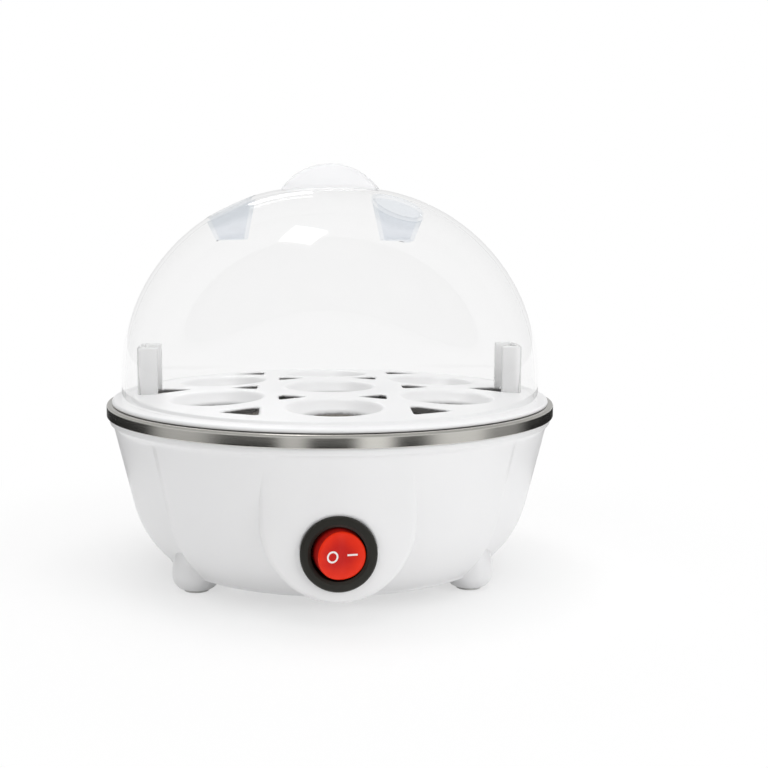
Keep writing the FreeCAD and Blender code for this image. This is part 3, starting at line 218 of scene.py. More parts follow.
materials = {
    "white_plastic": mouldedPlastic("white moulded polypropylene", "#F4F4F4", "#F0F0F1", 0.33),
    "clear_plastic": clearDome("clear moulded polycarbonate", 0.55),
    "clear_inside": clearDome("clear polycarbonate, dulled inner face", 0.1),
    # the darker second colour is the painted shade of the dish's well
    "steel": brushedSteel("brushed stainless steel", "#D2D0CA", "#7B7772", 0.16),
    "rubber": mouldedPlastic("black moulded rubber", "#1C1C1C", "#232323", 0.7, 0.5 * mm),
    "plated_steel": plainMetal("zinc-plated pressed steel", "#C4C6C8", 0.34),
    "aluminium": plainMetal("rolled aluminium sheet", "#D6D7D9", 0.42),
    "mica": mouldedPlastic("pressed mica sheet", "#C8B79A", "#B4A283", 0.45, 1.5 * mm),
    "resistance_alloy": plainMetal("rolled resistance alloy", "#8B8680", 0.4),
    "brass": plainMetal("stamped brass", "#CDA65A", 0.32),
    "black_plastic": mouldedPlastic("black moulded nylon", "#1F1E1A", "#26251F", 0.48, gloss=0.35),
    "red_plastic": glowingKey("clear red polycarbonate", "#B6130A", "#DC2A0A", (0, -71.5 * mm, 22 * mm), 7.5 * mm),
    "shaded_red": mouldedPlastic("red polycarbonate in the shade of its frame", "#B0160F", "#98100C", 0.6, gloss=0.2),
    # painted light: the knob and the tabs get purer whites than the #F4F4F4 white plastic they are moulded from, a
    # painted lift for the lesser light that reaches them; their translucency is a real property
    "milky_plastic_painted_lighter": milkyPlastic("milky moulded polypropylene", "#FEFEFF", 0.85),
    "thin_plastic_painted_lighter": milkyPlastic("thin white polypropylene", "#FFFFFF", 0.4),
    "pale_pad": mouldedPlastic("pale silicone rubber", "#E2E2E0", "#D9D9D6", 0.6, 0.5 * mm),
    "mark_paint": mouldedPlastic("white pad-printed ink", "#F6F1EE", "#EFE8E4", 0.45),
    "lamp_glass": mouldedPlastic("neon lamp tube", "#F0B090", "#F0A080", 0.1),
    "insulator": mouldedPlastic("pale moulded insulator", "#DCD5C6", "#D2CAB8", 0.5),
    "lead_sleeve": mouldedPlastic("braided heat-proof sleeve", "#E4DFD2", "#CFC8B8", 0.65, 0.6 * mm),
}
# small steel hardware is plated; only the dish is brushed
ownFinish = {"foot_pads": "pale_pad"}
for entry in frame["record"]["subparts"]:
    node = nodes[entry["node"]]
    plated = entry["material_slot"] == "steel" and entry["node"] != "heating_dish"
    finish = "plated_steel" if plated else ownFinish.get(entry["node"], entry["material_slot"])
    node.data.materials.clear()
    node.data.materials.append(materials[finish])
print("materials done:", len(materials))


# surfaces: arrays of points on a grid, joined into one mesh for each piece

def ringAngles(count):
    return np.linspace(0, 2 * np.pi, count, endpoint=False)


def spun(profile, angles):
    # radius and height of each profile point carried round the Z axis: x = r cos a, y = r sin a
    profile = np.asarray(profile, dtype=float)
    radius, height = profile[:, :1], profile[:, 1:2]
    return np.stack([radius * np.cos(angles), radius * np.sin(angles), height + 0 * angles], axis=-1)


def arcPoints(centre, radius, start, end, count):
    # points of a circle from one angle to another, in degrees
    turn = np.radians(np.linspace(start, end, count))
    return np.stack([centre[0] + radius * np.cos(turn), centre[1] + radius * np.sin(turn)], axis=-1)


def gridQuads(points, closedAcross, closedAlong):
    # vertex numbers of the quads over a grid of points, joined up along the closed directions
    rows, columns = points.shape[:2]
    index = np.arange(rows * columns).reshape(rows, columns)
    index = np.concatenate([index, index[:, :1]], axis=1) if closedAcross else index
    index = np.concatenate([index, index[:1]], axis=0) if closedAlong else index
    return np.stack([index[:-1, :-1], index[:-1, 1:], index[1:, 1:], index[1:, :-1]], axis=-1).reshape(-1, 4)


def surfaceObject(name, grids, body, slotName, nodeNames=(), dropped=None, finish=None):
    # each grid is (points in mm, closed across, closed along); dropped marks vertices whose faces are left out
    vertices, faces, start = [], [], 0
    for points, closedAcross, closedAlong in grids:
        faces.append(gridQuads(points, closedAcross, closedAlong) + start)
        vertices.append(points.reshape(-1, 3))
        start += len(vertices[-1])
    vertices, faces = np.concatenate(vertices), np.concatenate(faces)
    if dropped is not None:
        inside = np.zeros(len(vertices), dtype=bool)
        inside[:dropped.size] = dropped.ravel()
        faces = faces[~inside[faces].all(axis=1)]
    mesh = bpy.data.meshes.new(name)
    mesh.from_pydata(vertices * mm, [], faces)
    work = bmesh.new()
    work.from_mesh(mesh)
    bmesh.ops.remove_doubles(work, verts=work.verts, dist=1e-7)
    bmesh.ops.delete(work, geom=[vertex for vertex in work.verts if not vertex.link_faces], context="VERTS")
    work.to_mesh(mesh)
    work.free()
    mesh.shade_smooth()
    item = bpy.data.objects.new(name, mesh)
    bpy.context.scene.collection.objects.link(item)
    mesh.materials.append(materials[finish or slotName])
    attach(item, body)
    if nodeNames:
        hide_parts(*nodeNames)
    return item


def solidify(item, thickness):
    # wall grown to the inside of a surface
    wall = item.modifiers.new("wall", "SOLIDIFY")
    wall.thickness = thickness * mm
    wall.offset = -1
    wall.use_even_offset = False
    return wall


def smoothStep(low, high, number):
    share = np.clip((number - low) / (high - low), 0, 1)
    return share * share * (3 - 2 * share)


# housing: fluted bowl, front shield, stub feet and the boss of the cord gland

housing = {
    "rimRadius": 73.0, "rimZ": 51.5, "waistRadius": 66.6, "waistZ": 24.5, "footRadius": 54.0, "footZ": 4.6,
    "edgeRound": 1.0, "edgeLift": 1.2, "wall": 2.4, "floor": 4.0, "neckRadius": 74.0, "neckTop": 56.4, "opening": 38.5,
    "recess": 45.8, "recessDepth": 1.7, "fluteDepth": 3.4, "creaseAngle": 48.0, "creaseWidth": 7.0, "fluteEnd": 77.0,
    "shieldFace": 70.2, "shieldWidth": 46.0, "shieldRoundZ": 30.2, "shieldTop": 51.2, "shieldEdge": 1.5,
    "shieldDraft": 0.03, "shieldBlend": 1.1, "shieldSink": 0.35, "shieldRoot": 1.4, "shieldRows": (16.0, 9.0, 5.0),
    "seatRadius": 11.1, "seatFace": 69.4, "holeRadius": 10.0, "holeDepth": 8.0, "holeGap": 2.0, "switchZ": 22.2,
    "footRing": 53.0, "footAngle": 34.0, "footSize": 7.8, "footRound": 5.0, "footTop": 17.0,
    "padRecess": 4.3, "padTop": 1.2, "footLow": 0.8,
    "glandFace": 65.4, "glandPad": 9.0, "glandHole": 5.1, "glandZ": 18.0, "glandDepth": 18.4, "glandRound": 1.0,
    "glandBore": 8.0, "glandSink": 0.1, "glandLap": 0.6, "glandGap": 2.4,
}


def bowlRadius(height):
    # straight wall above the waist; below it the circle that leaves that wall without a kink and meets the lower edge
    h = housing
    lean = math.atan2(h["rimRadius"] - h["waistRadius"], h["rimZ"] - h["waistZ"])
    drop = math.atan2(h["waistRadius"] - h["footRadius"], h["waistZ"] - h["footZ"])
    chord = math.hypot(h["waistRadius"] - h["footRadius"], h["waistZ"] - h["footZ"])
    arc = chord / 2 / math.sin(drop - lean)
    centre = (h["waistRadius"] - arc * math.cos(lean), h["waistZ"] + arc * math.sin(lean))
    straight = h["waistRadius"] + (height - h["waistZ"]) * math.tan(lean)
    curved = centre[0] + np.sqrt(np.maximum(arc ** 2 - (height - centre[1]) ** 2, 0))
    return np.where(height >= h["waistZ"], straight, curved)


def fluteDepth(angles):
    # set-back by angle from the front: none on the panel, a quick step at the crease, then gently back to none
    # towards the side
    h = housing
    fromFront = np.abs((np.degrees(angles) + 90 + 180) % 360 - 180)
    folded = np.minimum(fromFront, 180 - fromFront)
    step = smoothStep(h["creaseAngle"], h["creaseAngle"] + h["creaseWidth"], folded)
    back = 1 - smoothStep(h["creaseAngle"], h["fluteEnd"], folded)
    return h["fluteDepth"] * step * back


def bowlGrid():
    # closed section (lower edge, outer wall, lip, inner wall, floor) carried round Z, its walls set back at the flutes;
    # columns stand closer together at the four creases
    h = housing
    crease, after, before = h["creaseAngle"], np.arange(-1.5, 9, 0.5), np.arange(-9, 1.5, 0.5)
    steps = np.concatenate([np.arange(0, 360, 1.5), crease + after, 180 + crease + after, 180 - crease + before,
                            360 - crease + before])
    angles = np.radians(np.unique(np.round(steps, 3)) - 90)
    low = h["footZ"] - h["edgeRound"]
    edgeZ = h["footZ"] + h["edgeLift"]
    wallZ = np.concatenate([np.linspace(edgeZ, h["waistZ"], 40), np.linspace(h["waistZ"], h["rimZ"] - 0.6, 30)[1:]])
    outside = np.stack([bowlRadius(wallZ), wallZ], axis=-1)
    lip = [(h["rimRadius"] + 0.3, h["rimZ"] - 0.25), (h["neckRadius"] - 0.5, h["rimZ"] - 0.1),
           (h["neckRadius"] - 0.15, h["rimZ"] + 0.15), (h["neckRadius"], h["rimZ"] + 0.5),
           (h["neckRadius"], h["neckTop"]), (h["rimRadius"] - h["wall"], h["neckTop"])]
    floorTop = low + h["floor"]
    insideZ = np.linspace(h["rimZ"] - 0.5, floorTop, 30)
    inside = np.stack([bowlRadius(insideZ) - h["wall"], insideZ], axis=-1)
    floor = [(h["opening"], floorTop), (h["opening"], low + h["recessDepth"]), (h["recess"], low + h["recessDepth"]),
             (h["recess"], low)]
    edge = arcPoints((bowlRadius(edgeZ) - h["edgeRound"], edgeZ), h["edgeRound"], -90, 0, 6)[:-1]
    profile = np.concatenate([edge, outside, lip, inside, floor])
    points = spun(profile, angles)
    walled = np.zeros(len(profile))
    walled[:len(edge) + len(outside)] = 1
    inner = len(edge) + len(outside) + len(lip)
    walled[inner:inner + len(inside)] = 1
    fading = 1 - smoothStep(h["rimZ"] - 2, h["rimZ"], profile[:, 1:2])
    setBack = walled[:, None] * fluteDepth(angles)[None, :] * fading
    reach = np.maximum(profile[:, :1], 1e-6)
    points[..., :2] *= (1 - setBack / reach)[..., None]
    return points, True, True


def shieldOutline(count, inset=0.0):
    # U-shaped outline: two upright sides, a half circle below, a straight line across the top
    h = housing
    half = h["shieldWidth"] / 2 - inset
    side = np.linspace(h["shieldTop"], h["shieldRoundZ"], count // 5)
    left = np.stack([0 * side - half, side], axis=-1)
    below = arcPoints((0, h["shieldRoundZ"]), half, 180, 360, count // 2)[1:-1]
    across = np.linspace(half, -half, count // 5)[1:-1]
    top = np.stack([across, 0 * across + h["shieldTop"]], axis=-1)
    return np.concatenate([left, below, left[::-1] * [-1, 1], top])


def shieldGrid():
    # outline carried outward from within the bowl's wall, rolled over a round edge, then drawn in to the switch's hole
    h = housing
    centre = np.array([0, h["switchZ"]])
    inset = shieldOutline(200, h["shieldEdge"])
    aim = inset - centre
    ring = centre + aim / np.linalg.norm(aim, axis=1, keepdims=True) * h["seatRadius"]
    flat, depth = [], []
    for sink in h["shieldRows"]:
        flat.append(shieldOutline(200, -h["shieldDraft"] * sink))
        depth.append(sink)
    for turn in np.radians(np.linspace(0, 90, 9)):
        flat.append(shieldOutline(200, h["shieldEdge"] * (1 - math.cos(turn))))
        depth.append(h["shieldEdge"] * (1 - math.sin(turn)))
    for share in np.linspace(0, 1, 16)[1:]:
        flat.append(inset + (ring - inset) * share)
        depth.append(0.0)
    flat, depth = np.array(flat), np.array(depth)[:, None]
    wall = bowlRadius(flat[..., 1])
    bowl = wall - h["shieldSink"] * smoothStep(40, h["shieldTop"], flat[..., 1])
    soft = h["shieldBlend"]
    face = (np.sqrt((h["shieldFace"] - bowl) ** 2 + soft ** 2) + h["shieldFace"] + bowl) / 2 - depth
    face = np.maximum(face, wall - h["shieldRoot"])
    forward = -np.sqrt(np.maximum(face ** 2 - flat[..., 0] ** 2, 0))
    points = np.stack([flat[..., 0], forward, flat[..., 1]], axis=-1)
    hole = centre + (ring - centre) * h["holeRadius"] / h["seatRadius"]
    ends = [(ring, h["seatFace"]), (hole, h["seatFace"]), (hole, h["seatFace"] - h["holeDepth"])]
    extra = np.array([np.stack([spot[:, 0], 0 * spot[:, 0] - reach, spot[:, 1]], axis=-1) for spot, reach in ends])
    return np.concatenate([points, extra]), True, False


def footGrid(x, y):
    # egg-shaped stub: one quarter of an ellipse below its widest level, another above, hollowed for its pad
    h = housing
    low = h["footLow"]
    quarter = arcPoints((0, 0), 1, -90, 0, 12) * [h["footSize"] - h["padRecess"] - 0.1, h["footRound"]]
    roundEdge = quarter + [h["padRecess"] + 0.1, low + h["footRound"]]
    widest = low + h["footRound"]
    crown = arcPoints((0, 0), 1, 0, 89.9, 14)[1:] * [h["footSize"], h["footTop"] - widest] + [0, widest]
    hollow = [(0.01, h["padTop"]), (h["padRecess"], h["padTop"]), (h["padRecess"], low)]
    profile = np.concatenate([hollow, roundEdge, crown])
    return spun(profile, ringAngles(48)) + np.array([x, y, 0]), True, False


def glandBossGrid():
    # tube along Y: out along its side, over a round edge and back down the hole
    h = housing
    deep, soft = h["glandDepth"], h["glandRound"]
    roundEdge = arcPoints((h["glandPad"] - soft, deep - soft), soft, 0, 90, 6)
    bore = [(h["glandHole"], deep), (h["glandHole"], h["glandBore"])]
    ring = spun(np.concatenate([[(h["glandPad"], 0)], roundEdge, bore]), ringAngles(64))
    outward = ring[..., 2] + h["glandFace"] - deep
    return np.stack([ring[..., 0], outward, h["glandZ"] - ring[..., 1]], axis=-1), True, False


def makeHousing():
    h = housing
    spread = np.radians([h["footAngle"], 180 - h["footAngle"], 180 + h["footAngle"], -h["footAngle"]])
    feet = [footGrid(h["footRing"] * np.cos(turn), h["footRing"] * np.sin(turn)) for turn in spread]
    bowl = bowlGrid()
    x, y, z = np.moveaxis(bowl[0], -1, 0)
    # a flat is sunk round the gland, with a sloping edge
    fromGland = np.hypot(x, z - h["glandZ"])
    flat = h["glandFace"] - h["glandSink"] + np.maximum(fromGland - h["glandPad"] + h["glandLap"], 0)
    bowl[0][..., 1] = np.minimum(y, flat)
    # the wall is open behind the switch and inside the gland's boss
    opened = np.where(y < 0, np.hypot(x, z - h["switchZ"]) < h["holeRadius"] + h["holeGap"],
                      fromGland < h["glandHole"] + h["glandGap"])
    surfaceObject("moulded_bowl", [bowl, shieldGrid(), glandBossGrid(), *feet], "base", "white_plastic",
                  ["base_housing"], opened)


# steel dish with its hemmed rim band

dish = {
    "rimRadius": 75.0, "bandLow": 53.8, "bandTop": 57.8, "sheet": 0.6, "bend": 0.7, "hem": 0.25,
    "mouth": 67.6, "mouthRound": 0.9, "mouthSet": 0.4, "floorZ": 34.0, "floorRadius": 52.0, "corner": 6.0,
}


def makeDish():
    # section up the rim band, over it, down into the well and back underneath, carried round Z
    d = dish
    bend = arcPoints((d["rimRadius"] - d["bend"], d["bandTop"] - d["bend"]), d["bend"], 0, 90, 8)
    soft, sheet = d["mouthRound"], d["sheet"]
    mouth = arcPoints((d["mouth"] + soft, d["bandTop"] - soft), soft, 90, 150, 6)
    corner = arcPoints((d["floorRadius"], d["floorZ"] + d["corner"]), d["corner"], -8, -90, 12)
    hem = arcPoints((d["rimRadius"] - d["hem"], d["bandLow"] + d["hem"]), d["hem"], -90, 0, 5)
    face = [(d["rimRadius"], d["bandLow"] + 2 * d["hem"]), (d["rimRadius"], d["bandTop"] - d["bend"] - d["hem"])]
    top = np.concatenate([hem, face, bend, mouth, corner, [(30, d["floorZ"]), (0, d["floorZ"])]])
    under = [(0, d["floorZ"] - sheet), (d["floorRadius"], d["floorZ"] - sheet),
             (d["floorRadius"] + d["corner"] + sheet, d["floorZ"] + d["corner"]),
             (d["mouth"] + sheet, d["bandTop"] - sheet - d["mouthSet"]),
             (d["rimRadius"] - sheet, d["bandTop"] - sheet), (d["rimRadius"] - sheet, d["bandLow"])]
    surfaceObject("steel_dish", [(spun(np.concatenate([top, under]), ringAngles(240)), True, True)], "base", "steel",
                  ["heating_dish"])


# clear dome: straight skirt, shoulder arc and crown arc, with two funnels that let steam out

dome = {
    "radius": 69.9, "base": 59.4, "crown": 129.4, "shoulder": 63.3, "crownArc": 113.0, "wall": 1.3,
    "ventAbove": 90.0, "ventLowZ": 112.0, "ventLow": 4.1, "ventMouth": 6.6, "ventEdge": 1.4, "rollFrom": 0.72,
    "clamp": 2.2,
}


def domeProfile():
    # radius and height: the shoulder arc leaves the skirt upright and meets the crown arc without a kink
    d = dome
    offset = d["radius"] - d["shoulder"]
    span = d["crownArc"] - d["shoulder"]
    rise = math.sqrt(span ** 2 - offset ** 2)
    crownZ = d["crown"] - d["crownArc"]
    lean = math.degrees(math.atan2(rise, offset))
    skirt = np.stack([np.full(8, d["radius"]), np.linspace(d["base"], crownZ + rise, 8)], axis=-1)[:-1]
    shoulder = arcPoints((offset, crownZ + rise), d["shoulder"], 0, lean, 104)
    crown = arcPoints((0, crownZ), d["crownArc"], lean, 90, 16)[1:]
    return np.concatenate([skirt, shoulder, crown])


def makeDome():
    # round each vent the surface is drawn down into a funnel; what is nearer than the clamp is the open hole
    d = dome
    profile = domeProfile()
    points = spun(profile, ringAngles(300))
    order = np.argsort(profile[:, 0])
    hole = np.zeros(points.shape[:2], dtype=bool)
    reach = d["ventMouth"] + d["ventEdge"]
    for turn in np.radians(funnels["angles"]):
        centre = funnels["ring"] * np.array([np.cos(turn), np.sin(turn)])
        away = points[..., :2] - centre
        distance = np.linalg.norm(away, axis=-1)
        near = (distance < reach) & (points[..., 2] > d["ventAbove"])
        unit = away / np.maximum(distance, 1e-6)[..., None]
        edge = np.linalg.norm(centre + reach * unit, axis=-1)
        edgeZ = np.interp(edge, profile[order, 0], profile[order, 1])
        share = np.clip((distance - d["clamp"]) / (reach - d["clamp"]), 0, 1)
        wall = np.clip(share / d["rollFrom"], 0, 1)
        roll = np.clip((share - d["rollFrom"]) / (1 - d["rollFrom"]), 0, 1) * np.pi / 2
        radius = d["ventLow"] + (d["ventMouth"] - d["ventLow"]) * wall + d["ventEdge"] * (1 - np.cos(roll))
        height = d["ventLowZ"] + (edgeZ - d["ventEdge"] - d["ventLowZ"]) * wall + d["ventEdge"] * np.sin(roll)
        funnel = np.concatenate([centre + unit * radius[..., None], height[..., None]], axis=-1)
        points = np.where(near[..., None], funnel, points)
        hole |= near & (distance < d["clamp"])
    item = surfaceObject("clear_dome", [(points, True, False)], "lid", "clear_plastic", ["lid_dome"], hole)
    item.data.materials.append(materials["clear_inside"])
    solidify(item, d["wall"]).material_offset = 1


# knob on the crown: a slice of an upright disc with round edges

knob = {"radius": 20.0, "top": 136.7, "half": 16.2, "thickness": 7.0, "round": 1.8, "seat": 0.6}


def makeKnob():
    # section at each place along X: up one face, over two quarter rounds and down the other; the height follows a
    # circle
    k, d = knob, dome
    along = k["half"] * np.sin(np.radians(np.linspace(-90, 90, 61)))[:, None]
    height = k["top"] - k["radius"] + np.sqrt(k["radius"] ** 2 - along ** 2)
    foot = d["crown"] - d["crownArc"] + np.sqrt(d["crownArc"] ** 2 - along ** 2) - k["seat"]
    turn = np.radians(np.linspace(0, 90, 7))[None, :]
    bend = np.minimum(k["round"], (height - foot) * 0.8)
    half = k["thickness"] / 2
    climb = height - bend + bend * np.sin(turn)
    outward = half - bend + bend * np.cos(turn)
    lower = foot + (height - bend - foot) * np.array([[0.0, 0.33, 0.66]])
    side = 0 * lower + half
    up = np.concatenate([lower, climb], axis=1)
    out = np.concatenate([side, outward], axis=1)
    rise = np.concatenate([up, up[:, ::-1]], axis=1)
    depth = np.concatenate([-out, out[:, ::-1]], axis=1)
    points = np.stack([along + 0 * rise, depth, rise], axis=-1)
    surfaceObject("crown_knob", [(points[:, ::-1], True, False)], "lid", "white_plastic", ["lid_knob"],
                  finish="milky_plastic_painted_lighter")


# egg tray: raised plate with seven egg seats and twelve vents, an outer flange, a skirt and two lifting tabs

tray = {
    "flange": 73.2, "flangeLow": 58.0, "flangeTop": 59.2, "riser": 0.6, "radius": 66.5, "top": 61.2, "crown": 62.2,
    "edgeZ": 60.2, "edge": 0.8, "wall": 0.7,
    "seatRing": 43.0, "seatRim": 14.9, "seatBall": 18.5, "throat": 11.5, "throatLip": 1.0, "seatClamp": 8.6,
    "seatInset": 0.4, "seatLip": ((0.1, -0.2), (0.5, -0.05), (1.0, 0.0)),  # how far past the rim, and how high
    "innerRing": 28.0, "innerVent": 3.25, "outerRing": 55.0, "outerVent": 4.3,
    "ventRound": 0.5, "ventDepth": 0.4, "ventRoll": 0.08, "ventCorner": 0.8,
    "skirt": 64.0, "skirtLow": 54.0, "skirtWall": 1.8,
    "tabRadius": 64.5, "tabDepth": 7.0, "tabSpan": 16.0, "tabWall": 1.8, "tabTop": 76.2, "tabBend": 2.0,
    "tabRoot": 1.0, "tabEnds": (0.3, 0.75),
    "tabCrown": ((1.0, 0.9), (0.9, 0.4), (0.6, 0.1), (0.0, 0.0)),  # share of the half wall, and drop from the top
}


def sinkSeat(points, hole, centre):
    # egg seat: a round rim that rolls into a ball-shaped hollow with an open throat
    t = tray
    rise = math.sqrt(t["seatBall"] ** 2 - t["seatRim"] ** 2)
    radii = np.linspace(t["throat"], t["seatRim"] - t["seatInset"], 7)
    depths = rise - np.sqrt(t["seatBall"] ** 2 - radii ** 2)
    lip = np.array(t["seatLip"])
    pathRadius = np.concatenate([[t["throat"]], radii, t["seatRim"] + lip[:, 0]])
    pathDepth = np.concatenate([[depths[0] - t["throatLip"]], depths, lip[:, 1]])
    away = points[..., :2] - centre
    distance = np.linalg.norm(away, axis=-1)
    reach = pathRadius[-1]
    near = distance < reach
    share = np.clip((distance - t["seatClamp"]) / (reach - t["seatClamp"]), 0, 1)
    stops = np.linspace(0, 1, len(pathRadius))
    unit = away / np.maximum(distance, 1e-6)[..., None]
    moved = np.concatenate([centre + unit * np.interp(share, stops, pathRadius)[..., None],
                            points[..., 2:] + np.interp(share, stops, pathDepth)[..., None]], axis=-1)
    return np.where(near[..., None], moved, points), hole | (distance < t["seatClamp"])


def ventDistance(spots, centre, turn, reach):
    # smooth largest of the distances beyond three sides (log of the sum of their exponentials), and where it grows
    sides = turn + np.radians([60, 180, 300])
    normals = np.stack([np.cos(sides), np.sin(sides)], axis=-1)
    beyond = ((spots - centre) @ normals.T - reach) / tray["ventCorner"]
    peak = beyond.max(axis=-1, keepdims=True)
    weights = np.exp(beyond - peak)
    total = weights.sum(axis=-1, keepdims=True)
    return (peak + np.log(total))[..., 0] * tray["ventCorner"], weights / total @ normals


def sinkVent(points, hole, centre, turn, reach):
    # three-cornered vent with round corners: points just inside are drawn to its outline and sunk as a wall, points
    # just outside are kept clear of it and roll over a little
    t = tray
    distance, heading = ventDistance(points[..., :2], centre, turn, reach)
    inside = distance < 0
    share = np.clip(distance / t["ventRound"], 0, 1)
    kept = np.where(inside, 0, t["ventRound"] * (0.25 + 0.75 * share))
    sink = np.where(inside, -t["ventDepth"], -t["ventRoll"] * (1 - share) ** 2)
    flat = points[..., :2]
    for step in range(6):
        now, heading = ventDistance(flat, centre, turn, reach)
        slope = np.maximum((heading ** 2).sum(axis=-1), 0.1)
        flat = flat + heading * ((kept - now) / slope)[..., None]
    moved = np.concatenate([flat, points[..., 2:] + sink[..., None]], axis=-1)
    return np.where((distance < t["ventRound"])[..., None], moved, points), hole | inside


def tabGrid(side):
    # round-edged strip carried along a U-shaped path: in from one end, along the back wall, and out again
    t = tray
    outer, inner = t["tabRadius"] - t["tabWall"] / 2, t["tabRadius"] - t["tabDepth"]
    half, bend = (t["tabSpan"] - t["tabWall"]) / 2, t["tabBend"]
    first = arcPoints((outer - bend, -half + bend), bend, -90, 0, 7)
    second = arcPoints((outer - bend, half - bend), bend, 0, 90, 7)
    path = np.concatenate([[(inner, -half), (inner + 0.05, -half), (inner + 0.5, -half)], first, second,
                           [(inner + 0.5, half), (inner + 0.05, half), (inner, half)]])
    ahead = np.gradient(path, axis=0)
    sideways = np.stack([ahead[:, 1], -ahead[:, 0]], axis=-1)
    sideways /= np.linalg.norm(sideways, axis=1, keepdims=True)
    thick = np.full(len(path), t["tabWall"] / 2)
    thick[[0, -1]], thick[[1, -2]] = t["tabEnds"]
    crown = np.array(t["tabCrown"])
    section = np.concatenate([crown, crown[-2::-1] * [-1, 1]])
    low = t["top"] - t["tabRoot"]
    across = np.concatenate([[1], section[:, 0], [-1]])
    height = np.concatenate([[low], t["tabTop"] - section[:, 1], [low]])
    flat = path[:, None, :] + sideways[:, None, :] * (thick[:, None] * across[None, :])[..., None]
    points = np.concatenate([flat, np.broadcast_to(height[None, :, None], flat.shape[:2] + (1,))], axis=-1)
    return points * ([1, 1, 1] if side > 0 else [-1, -1, 1]), True, False


def makeTray():
    t = tray
    angles = ringAngles(420)
    flangeEdge = arcPoints((t["flange"] - t["edge"], t["flangeTop"] - t["edge"]), t["edge"], 0, 90, 6)
    riser = arcPoints((t["radius"] + t["riser"], t["flangeTop"] + t["riser"]), t["riser"], -90, -180, 5)
    topEdge = arcPoints((t["radius"] - t["edge"], t["edgeZ"] - t["edge"]), t["edge"], 40, 90, 4)
    plate = np.linspace(t["radius"] - t["edge"], 3, 86)[1:]
    # the plate is crowned: its height falls with the square of the radius
    crown = t["crown"] - (t["crown"] - t["edgeZ"]) * (plate / (t["radius"] - t["edge"])) ** 2
    profile = np.concatenate([[(t["flange"], t["flangeLow"])], flangeEdge, riser[:3], topEdge,
                              np.stack([plate, crown], axis=-1)])
    points = spun(profile, angles)
    hole = np.zeros(points.shape[:2], dtype=bool)
    turns = np.radians(np.arange(6) * 60)
    seats = [np.zeros(2)] + [t["seatRing"] * np.array([np.cos(turn), np.sin(turn)]) for turn in turns + np.radians(30)]
    for centre in seats:
        points, hole = sinkSeat(points, hole, centre)
    for turn in turns:
        heading = np.array([np.cos(turn), np.sin(turn)])
        points, hole = sinkVent(points, hole, t["innerRing"] * heading, turn, t["innerVent"])
        points, hole = sinkVent(points, hole, t["outerRing"] * heading, turn + np.pi, t["outerVent"])
    skirt = spun([(t["skirt"], t["flangeTop"]), (t["skirt"] - t["skirtWall"], t["flangeTop"]),
                  (t["skirt"] - t["skirtWall"], t["skirtLow"]), (t["skirt"], t["skirtLow"])], ringAngles(180))
    plateItem = surfaceObject("tray_plate", [(points, True, False)], "tray", "white_plastic", ["egg_tray"], hole)
    solidify(plateItem, t["wall"])
    surfaceObject("tray_skirt", [(skirt, True, True)], "tray", "white_plastic")
    surfaceObject("tray_tabs", [tabGrid(1), tabGrid(-1)], "tray", "white_plastic", finish="thin_plastic_painted_lighter")


# rocker: round key with a shallow V face, tipped about its upright pin, and its two marks

rocker = {
    "pivot": (0.0, -67.5, 22.2), "tilt": 12.0, "round": 7.15, "drop": 0.4, "face": 3.6, "slope": 12.0, "soft": 1.6,
    "edge": 0.7, "shoulder": 7.5, "shoulderBack": -2.4, "back": 3.0,
    "markRing": 1.5, "markBar": 2.9, "markWidth": 0.54, "markLift": 0.06,
    "ringPlace": (-2.7, -0.45), "barPlace": (3.2, -0.1), "barTilt": 0.05,
}


def tipped(points):
    # turn about the pin, then move to the pivot
    r = rocker
    turn = math.radians(r["tilt"])
    x = points[..., 0] * math.cos(turn) - points[..., 1] * math.sin(turn)
    y = points[..., 0] * math.sin(turn) + points[..., 1] * math.cos(turn)
    return np.stack([x, y, points[..., 2]], axis=-1) + np.array(r["pivot"])


def rockerFace(x):
    # shallow V: the face stands out with distance from the pin, with a soft fold in the middle
    r = rocker
    return -(r["face"] + (np.sqrt(x ** 2 + r["soft"] ** 2) - r["soft"]) * math.tan(math.radians(r["slope"])))


